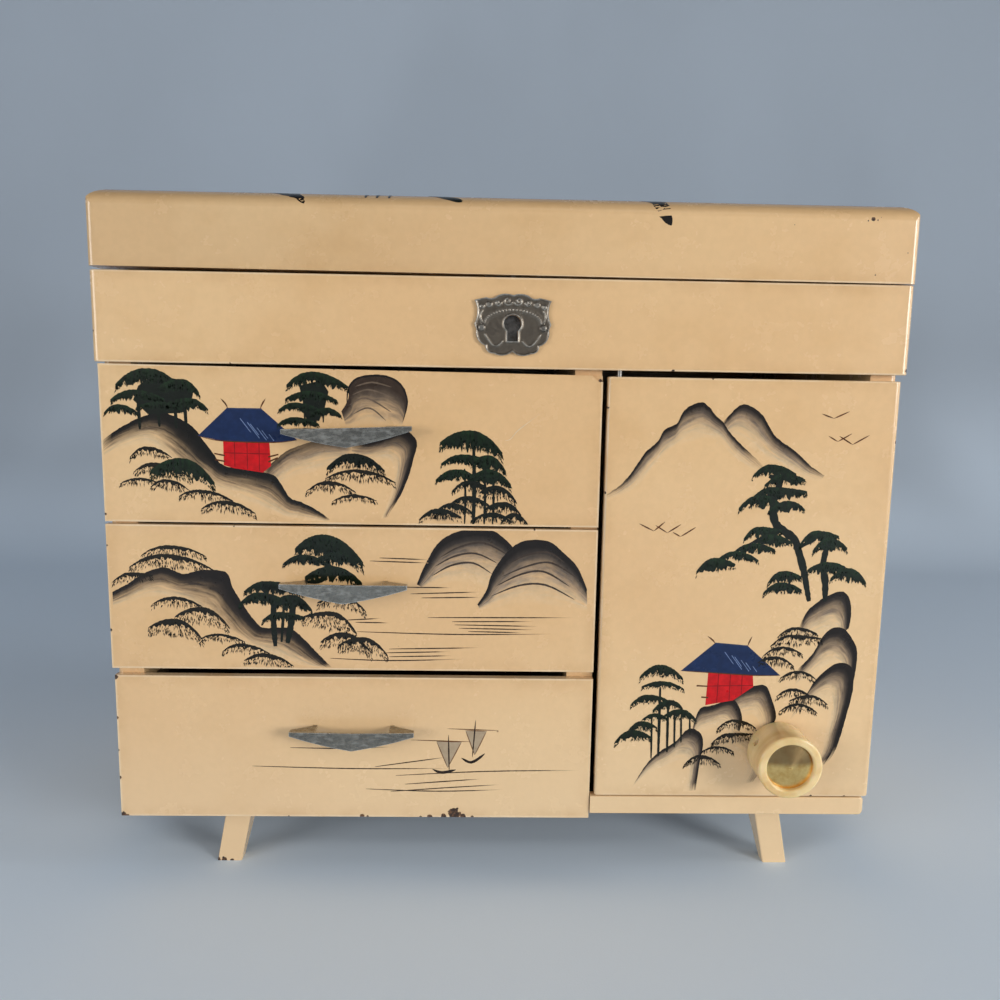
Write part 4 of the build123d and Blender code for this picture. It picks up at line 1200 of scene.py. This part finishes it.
ink = ink_material("painting_ink")
lid_ink = ink_material("painting_ink_lid", cad_high[2])
for seed, (name, body, place, paint) in enumerate(
    (
        ("painting_drawer_top", "drawer_top", front_face("drawer_top_front"), paint_drawer_top),
        ("painting_drawer_middle", "drawer_middle", front_face("drawer_middle_front"), paint_drawer_middle),
        ("painting_drawer_bottom", "drawer_bottom", front_face("drawer_bottom_front"), paint_drawer_bottom),
        ("painting_door", "door", front_face("door_panel"), paint_door),
        ("painting_lid", "lid", lid_face(), paint_lid),
    )
):
    painting = Painting(name, body, place, seed)
    paint(painting)
    painting.build(lid_ink if body == "lid" else ink)

# ---- Black lacquer, stained boards, velvet and mirror -------------------------------------------


def dark_board(name, tone, grain):
    m = Mat(name)
    lines = m.noise(60.0, 5.0, 0.65, m.stretch((1, 0.12, 1.6)))
    colour = m.mix(m.remap(lines, 0.35, 0.7), linear(tone), linear(grain))
    rough = m.remap(lines, 0.3, 0.8, 0.32, 0.55)
    return m.shade(
        base_color=colour, roughness=rough, coat_weight=0.15, coat_roughness=0.3,
        normal=m.bump(lines, 0.2, 0.0002),
    )


black_lacquer = dark_board("black_lacquer", "120d0a", "1d1510")
drawer_wood = dark_board("drawer_wood", "15100d", "2a1d14")
for board in ("bottom_board", "tray_floor", "drawer_runners"):
    clad(board, black_lacquer)
for drawer in ("drawer_top", "drawer_middle", "drawer_bottom"):
    for piece in ("side_left", "side_right", "back", "base"):
        clad(f"{drawer}_{piece}", drawer_wood)

velvet = Mat("velvet")
nap = velvet.noise(35.0, 4.0, 0.6)
pile = velvet.noise(1800.0, 2.0, 0.6)
velvet_colour = velvet.mix(velvet.remap(nap, 0.3, 0.75), linear("640c17"), linear("7c121e"))
velvet_colour = velvet.mix(velvet.remap(pile, 0.3, 0.7, 0.0, 0.4), velvet_colour, linear("3c050c"))
velvet.shade(
    base_color=velvet_colour, roughness=0.9, sheen_weight=0.7, sheen_roughness=0.4,
    normal=velvet.bump(pile, 0.5, 0.0003),
)
velvet.bsdf.inputs["Sheen Tint"].default_value = linear("d07078")
for lining in ("tray_lining", "drawer_top_lining", "drawer_middle_lining", "drawer_bottom_lining"):
    clad(lining, velvet.mat)

mirror = Mat("mirror_glass")
haze = mirror.remap(mirror.noise(50.0, 4.0, 0.6), 0.4, 0.8, 0.02, 0.06)
clad("lid_mirror", mirror.shade(base_color=linear("e6ebec"), metallic=1.0, roughness=haze))

# ---- Metals -------------------------------------------------------------------------------------


def metal(name, base, dark, light, rough=(0.25, 0.5), brushed=None, wear=0.6, raised=False):
    """Worn metal: tarnish in patches, fine scratches, and edges rubbed bright."""
    m = Mat(name)
    patches = m.remap(m.noise(420.0, 5.0, 0.7), 0.35, 0.75, 0.0, 0.9)
    colour = m.mix(patches, linear(base), linear(dark))
    grain = m.noise(900.0, 4.0, 0.6, m.stretch(brushed or (1, 1, 1)))
    colour = m.mix(m.remap(grain, 0.45, 0.8, 0.0, 0.3), colour, linear(light))
    if raised:
        colour = m.mix(m.remap(m.attribute("relief").outputs["Fac"], 0.1, 0.9), linear(dark), colour)
    bevel = m.node("ShaderNodeBevel", samples=6)
    bevel.inputs["Radius"].default_value = 0.00035
    geometry = m.node("ShaderNodeNewGeometry")
    turn = m.node("ShaderNodeVectorMath", operation="DOT_PRODUCT")
    m.put(turn.inputs[0], bevel.outputs[0])
    m.put(turn.inputs[1], geometry.outputs["Normal"])
    rubbed = m.math(
        "MULTIPLY", m.remap(turn.outputs["Value"], 0.995, 0.90),
        m.remap(m.noise(300.0, 3.0, 0.7), 0.3, 0.6, 0.3, 1.0),
    )
    colour = m.mix(m.math("MULTIPLY", rubbed, wear), colour, linear(light))
    roughness = m.math("SUBTRACT", m.remap(grain, 0.3, 0.75, *rough), m.math("MULTIPLY", rubbed, 0.12))
    return m.shade(base_color=colour, metallic=1.0, roughness=roughness, normal=m.bump(grain, 0.16, 0.00008))


pull_metal = metal("pull_metal", "938f86", "77736b", "f4f1e8", (0.22, 0.36), (0.4, 1, 1), 1.0)
antique_metal = metal("antique_metal", "a09a90", "6c6358", "d8d3c8", (0.36, 0.55), raised=True)
nail_metal = metal("nail_metal", "8b867e", "4a4138", "cfcac0", (0.34, 0.55))
hinge_brass = metal("hinge_brass", "b08c4c", "6a4c22", "e8cf94", (0.3, 0.55))
steel = metal("steel", "8c8a86", "55524d", "cfcdc8", (0.3, 0.5))
for drawer in ("drawer_top", "drawer_middle", "drawer_bottom"):
    clad(f"{drawer}_pull", pull_metal)
for node in ("hinge_case_leaves", "hinge_lid_leaves", "hinge_pins", "hinge_case_screws", "hinge_lid_screws"):
    clad(node, hinge_brass)
for node in (
    "leg_screws", "lock_case", "lock_bolt", "lock_strike", "knob_grub_screw",
    "knob_spindle", "latch_tongue", "door_pivot_pins", "spindle_bush",
):
    clad(node, steel)
clad("escutcheon_nails", nail_metal)

# ---- Keyhole plate, stamped ---------------------------------------------------------------------

PLATE_RELIEF = 0.42 * MM  # from the rim down to the ground
PLATE_CELL = 0.28 * MM


def tree_of(points):
    tree = KDTree(len(points))
    for index, point in enumerate(points):
        tree.insert(point, index)
    tree.balance()
    return tree


def spiral(cx, cz, radius, start, turns, side):
    """A scroll that winds inward from a start angle in degrees; side mirrors it."""
    steps = 40
    for k in range(steps + 1):
        t = k / steps
        angle = math.radians(start + 360 * turns * t)
        reach = radius * (1 - 0.8 * t)
        yield Vector((side * (cx + reach * math.cos(angle)), 0, cz + reach * math.sin(angle)))


def plate_ridges():
    """The stamped lines, in millimetres from the plate's middle: scrolls, an arch of beads, long curls."""
    lines, beads = [], []
    for side in (-1, 1):
        lines += spiral(1.9, 8.3, 1.55, 200, 1.15, side)
        lines += spiral(5.4, 7.7, 1.15, 180, 1.1, side)
        lines += spiral(8.6, 7.2, 1.0, 170, 1.1, side)
        lines += spiral(11.2, 6.4, 0.9, 160, 1.0, side)
        for k in range(30):
            t = k / 29
            lines.append(Vector((side * (9.8 - 6.2 * t), 0, -3.4 - 4.0 * math.sin(math.pi * t * 0.8))))
            lines.append(Vector((side * (10.9 + 0.7 * math.sin(math.pi * t)), 0, 1.0 + 3.8 * t)))
    for k in range(25):
        angle = math.pi * (k + 0.5) / 25
        beads.append(Vector((10.1 * math.cos(angle), 0, 0.4 + 4.9 * math.sin(angle))))
    return lines, beads


def stamped_plate():
    mesh = bmesh.new()
    mesh.from_mesh(nodes["escutcheon"].data)
    layer = mesh.verts.layers.float.new("relief")
    low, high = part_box("escutcheon")
    for axis in (0, 2):
        steps = int((high[axis] - low[axis]) / PLATE_CELL)
        for k in range(1, steps):
            place = Vector((0, 0, 0))
            place[axis] = low[axis] + (high[axis] - low[axis]) * k / steps
            normal = Vector((0, 0, 0))
            normal[axis] = 1
            geometry = mesh.verts[:] + mesh.edges[:] + mesh.faces[:]
            bmesh.ops.bisect_plane(mesh, geom=geometry, dist=1e-7, plane_co=place, plane_no=normal)
    face = [v for v in mesh.verts if v.co.y < low[1] + 1e-6]
    rim = [v for v in face if any(f.normal.y > -0.5 for f in v.link_faces)]
    rim_tree = tree_of([v.co for v in rim])
    middle = Vector(((low[0] + high[0]) / 2, 0, (low[2] + high[2]) / 2))
    lines, beads = plate_ridges()
    line_tree, bead_tree = tree_of(lines), tree_of(beads)
    for v in mesh.verts:
        v[layer] = 0.55
    moves = []
    for v in face:
        spot = (Vector((v.co.x, 0, v.co.z)) - middle) / MM
        to_rim = rim_tree.find(v.co)[2] / MM
        to_line = line_tree.find(spot)[2]
        to_bead = bead_tree.find(spot)[2]
        height = max(
            0.0,
            min(1.0, 1.7 - to_rim / 0.42),
            1 - (to_line / 0.42) ** 2,
            0.95 * (1 - (to_bead / 0.46) ** 2),
            0.35 - 0.1 * to_bead if to_bead < 1.2 else 0.0,
        )
        v[layer] = height
        moves.append((v, height))
    for v, height in moves:
        v.co.y += PLATE_RELIEF * (1 - height)
    data = bpy.data.meshes.new("escutcheon_stamped")
    mesh.to_mesh(data)
    mesh.free()
    data.materials.clear()
    data.materials.append(antique_metal)
    for polygon in data.polygons:
        polygon.use_smooth = polygon.normal.y < -0.3
    piece = bpy.data.objects.new("escutcheon_stamped", data)
    bpy.context.scene.collection.objects.link(piece)
    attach(piece, "case")
    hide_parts("escutcheon")


stamped_plate()

# ---- Knob ---------------------------------------------------------------------------------------

knob_low, knob_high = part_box("knob_insert")
KNOB = ((knob_low[0] + knob_high[0]) / 2, (knob_low[2] + knob_high[2]) / 2)

plastic = Mat("knob_plastic")
swirl = plastic.noise(55.0, 3.0, 0.5, None, 1.2)
plastic_colour = plastic.mix(plastic.remap(swirl, 0.35, 0.7), linear("ecd3a0"), linear("d8b67c"))
plastic.shade(
    base_color=plastic_colour, roughness=0.2, subsurface_weight=0.45, subsurface_scale=0.004, ior=1.5,
)
plastic.bsdf.inputs["Subsurface Radius"].default_value = (1.0, 0.6, 0.25)
plastic.shade(normal=plastic.bump(plastic.noise(300.0, 3.0, 0.5), 0.08, 0.0002))
clad("knob_body", plastic.mat)

turned = Mat("knob_brass")
px, _, pz = turned.xyz()
rx = turned.math("SUBTRACT", px, KNOB[0])
rz = turned.math("SUBTRACT", pz, KNOB[1])
radius = turned.math(
    "SQRT", turned.math("ADD", turned.math("MULTIPLY", rx, rx), turned.math("MULTIPLY", rz, rz)),
)
rings = turned.math("SINE", turned.math("MULTIPLY", radius, 26000.0))
turned_colour = turned.mix(
    turned.remap(turned.noise(260.0, 4.0, 0.7), 0.35, 0.75), linear("f7d58c"), linear("dcae62"),
)
# Painted reflection, not tarnish: the upper half darker, as if it mirrored the dark room overhead
tarnish = turned.remap(rz, -0.0006, 0.0022, 0.0, 0.8)
turned_colour = turned.mix(tarnish, turned_colour, linear("7a6046"))
turned.shade(base_color=turned_colour, metallic=1.0, roughness=0.2, normal=turned.bump(rings, 0.10, 0.00005))
clad("knob_insert", turned.mat)

# ---- Stage, lights and camera -------------------------------------------------------------------

floor_mesh = bpy.data.meshes.new("floor")
floor = bpy.data.objects.new("floor", floor_mesh)
bpy.context.scene.collection.objects.link(floor)
# A pale sheet: flat under the chest, then swept up behind it
sweep_start, sweep_radius, half = 0.45, 0.35, 2.6
profile = [(-3.0, 0.0), (sweep_start, 0.0)]
for step in range(1, 17):
    angle = math.pi / 2 * step / 16
    profile.append((sweep_start + sweep_radius * math.sin(angle), sweep_radius * (1 - math.cos(angle))))
profile.append((sweep_start + sweep_radius, 2.6))
verts = [(side * half, y, z) for y, z in profile for side in (-1, 1)]
faces = [(2 * i, 2 * i + 1, 2 * i + 3, 2 * i + 2) for i in range(len(profile) - 1)]
floor_mesh.from_pydata(verts, [], faces)
for polygon in floor_mesh.polygons:
    polygon.use_smooth = True
cloth = Mat("backdrop")
fold_shade = cloth.noise(2.2, 3.0, 0.5, cloth.stretch((1.0, 0.5, 0.6)))
weave = cloth.noise(1500.0, 2.0, 0.6)
height = cloth.xyz()[2]
# Painted shade: the sheet darker as it rises behind the chest
cloth_colour = cloth.mix(cloth.remap(height, 0.0, 0.25), linear("dfedfb"), linear("a9b3be"))
# Painted shade in its soft folds, on the raised part only
cloth_colour = cloth.mix(
    cloth.math("MULTIPLY", cloth.remap(fold_shade, 0.4, 0.65, 0.0, 0.5), cloth.remap(height, 0.0, 0.1)),
    cloth_colour, linear("9aa3ad"),
)
# Painted shade: the sheet darker towards the right
cloth_colour = cloth.mix(1.0, cloth_colour, cloth.remap(cloth.xyz()[0], -0.3, 0.8, 1.0, 0.82), "MULTIPLY")
cloth.shade(base_color=cloth_colour, roughness=0.95, normal=cloth.bump(weave, 0.2, 0.0003))
floor_mesh.materials.append(cloth.mat)


def lamp(name, place, target, size, power, colour=(1, 1, 1)):
    data = bpy.data.lights.new(name, "AREA")
    data.shape = "RECTANGLE"
    data.size, data.size_y = size
    data.energy = power
    data.color = colour
    item = bpy.data.objects.new(name, data)
    item.location = place
    item.rotation_euler = (Vector(target) - Vector(place)).to_track_quat("-Z", "Y").to_euler()
    bpy.context.scene.collection.objects.link(item)


lamp("key", (1.25, -1.15, 0.4), (0, 0, 0.08), (0.6, 0.5), 15.0, (1.0, 0.98, 0.95))
lamp("fill", (-1.3, -1.1, 0.35), (0, 0, 0.08), (0.8, 0.6), 9.3, (1.0, 0.98, 0.96))
lamp("floor_light", (0, -0.55, 0.5), (0, -0.8, 0), (1.2, 0.25), 1.2, (1.0, 0.99, 0.97))
lamp("high_window", (0.2, -1.1, 1.35), (0, -0.07, 0.2), (1.0, 0.1), 0.8)
lamp("side_window", (1.3, -0.2, 0.4), (0.1, -0.05, 0.15), (0.2, 0.8), 4.0)

world = bpy.data.worlds.new("World")
bpy.context.scene.world = world
world.use_nodes = True
sky = world.node_tree
direction = sky.nodes.new("ShaderNodeTexCoord")
split = sky.nodes.new("ShaderNodeSeparateXYZ")
dimming = sky.nodes.new("ShaderNodeMapRange")
# The room is darker overhead than at eye level
for key, value in (("From Min", 0.1), ("From Max", 0.8), ("To Min", 0.42), ("To Max", 0.09)):
    dimming.inputs[key].default_value = value
sky.links.new(direction.outputs["Generated"], split.inputs[0])
sky.links.new(split.outputs["Z"], dimming.inputs["Value"])
sky.links.new(dimming.outputs["Result"], sky.nodes["Background"].inputs["Strength"])
sky.nodes["Background"].inputs["Color"].default_value = (0.88, 0.93, 1.0, 1.0)

# The photograph's viewpoint, fitted to the boards' corners: distance from the front plane, height, turn
CAMERA_X, CAMERA_OUT, CAMERA_HEIGHT = -8.7 * MM, 314.4 * MM, 192.7 * MM
SENSOR, LENS = 36.0, 31.32
YAW, PITCH, ROLL = (math.radians(a) for a in (1.414, -8.306, 0.993))
ahead = Vector((math.sin(YAW), math.cos(YAW), 0))
side = Vector((math.cos(YAW), -math.sin(YAW), 0))
forward = ahead * math.cos(PITCH) + Vector((0, 0, math.sin(PITCH)))
above = Vector((0, 0, math.cos(PITCH))) - ahead * math.sin(PITCH)
right = side * math.cos(ROLL) + above * math.sin(ROLL)
up = above * math.cos(ROLL) - side * math.sin(ROLL)
camera_data = bpy.data.cameras.new("camera")
camera_data.sensor_width = SENSOR
camera_data.lens = LENS
camera_data.clip_start = 0.01
camera = bpy.data.objects.new("camera", camera_data)
camera.matrix_world = Matrix(
    (
        (right.x, up.x, -forward.x, CAMERA_X),
        (right.y, up.y, -forward.y, FRONT - CAMERA_OUT),
        (right.z, up.z, -forward.z, CAMERA_HEIGHT),
        (0, 0, 0, 1),
    )
)
bpy.context.scene.collection.objects.link(camera)
bpy.context.scene.camera = camera
bpy.context.scene.view_settings.view_transform = "Standard"
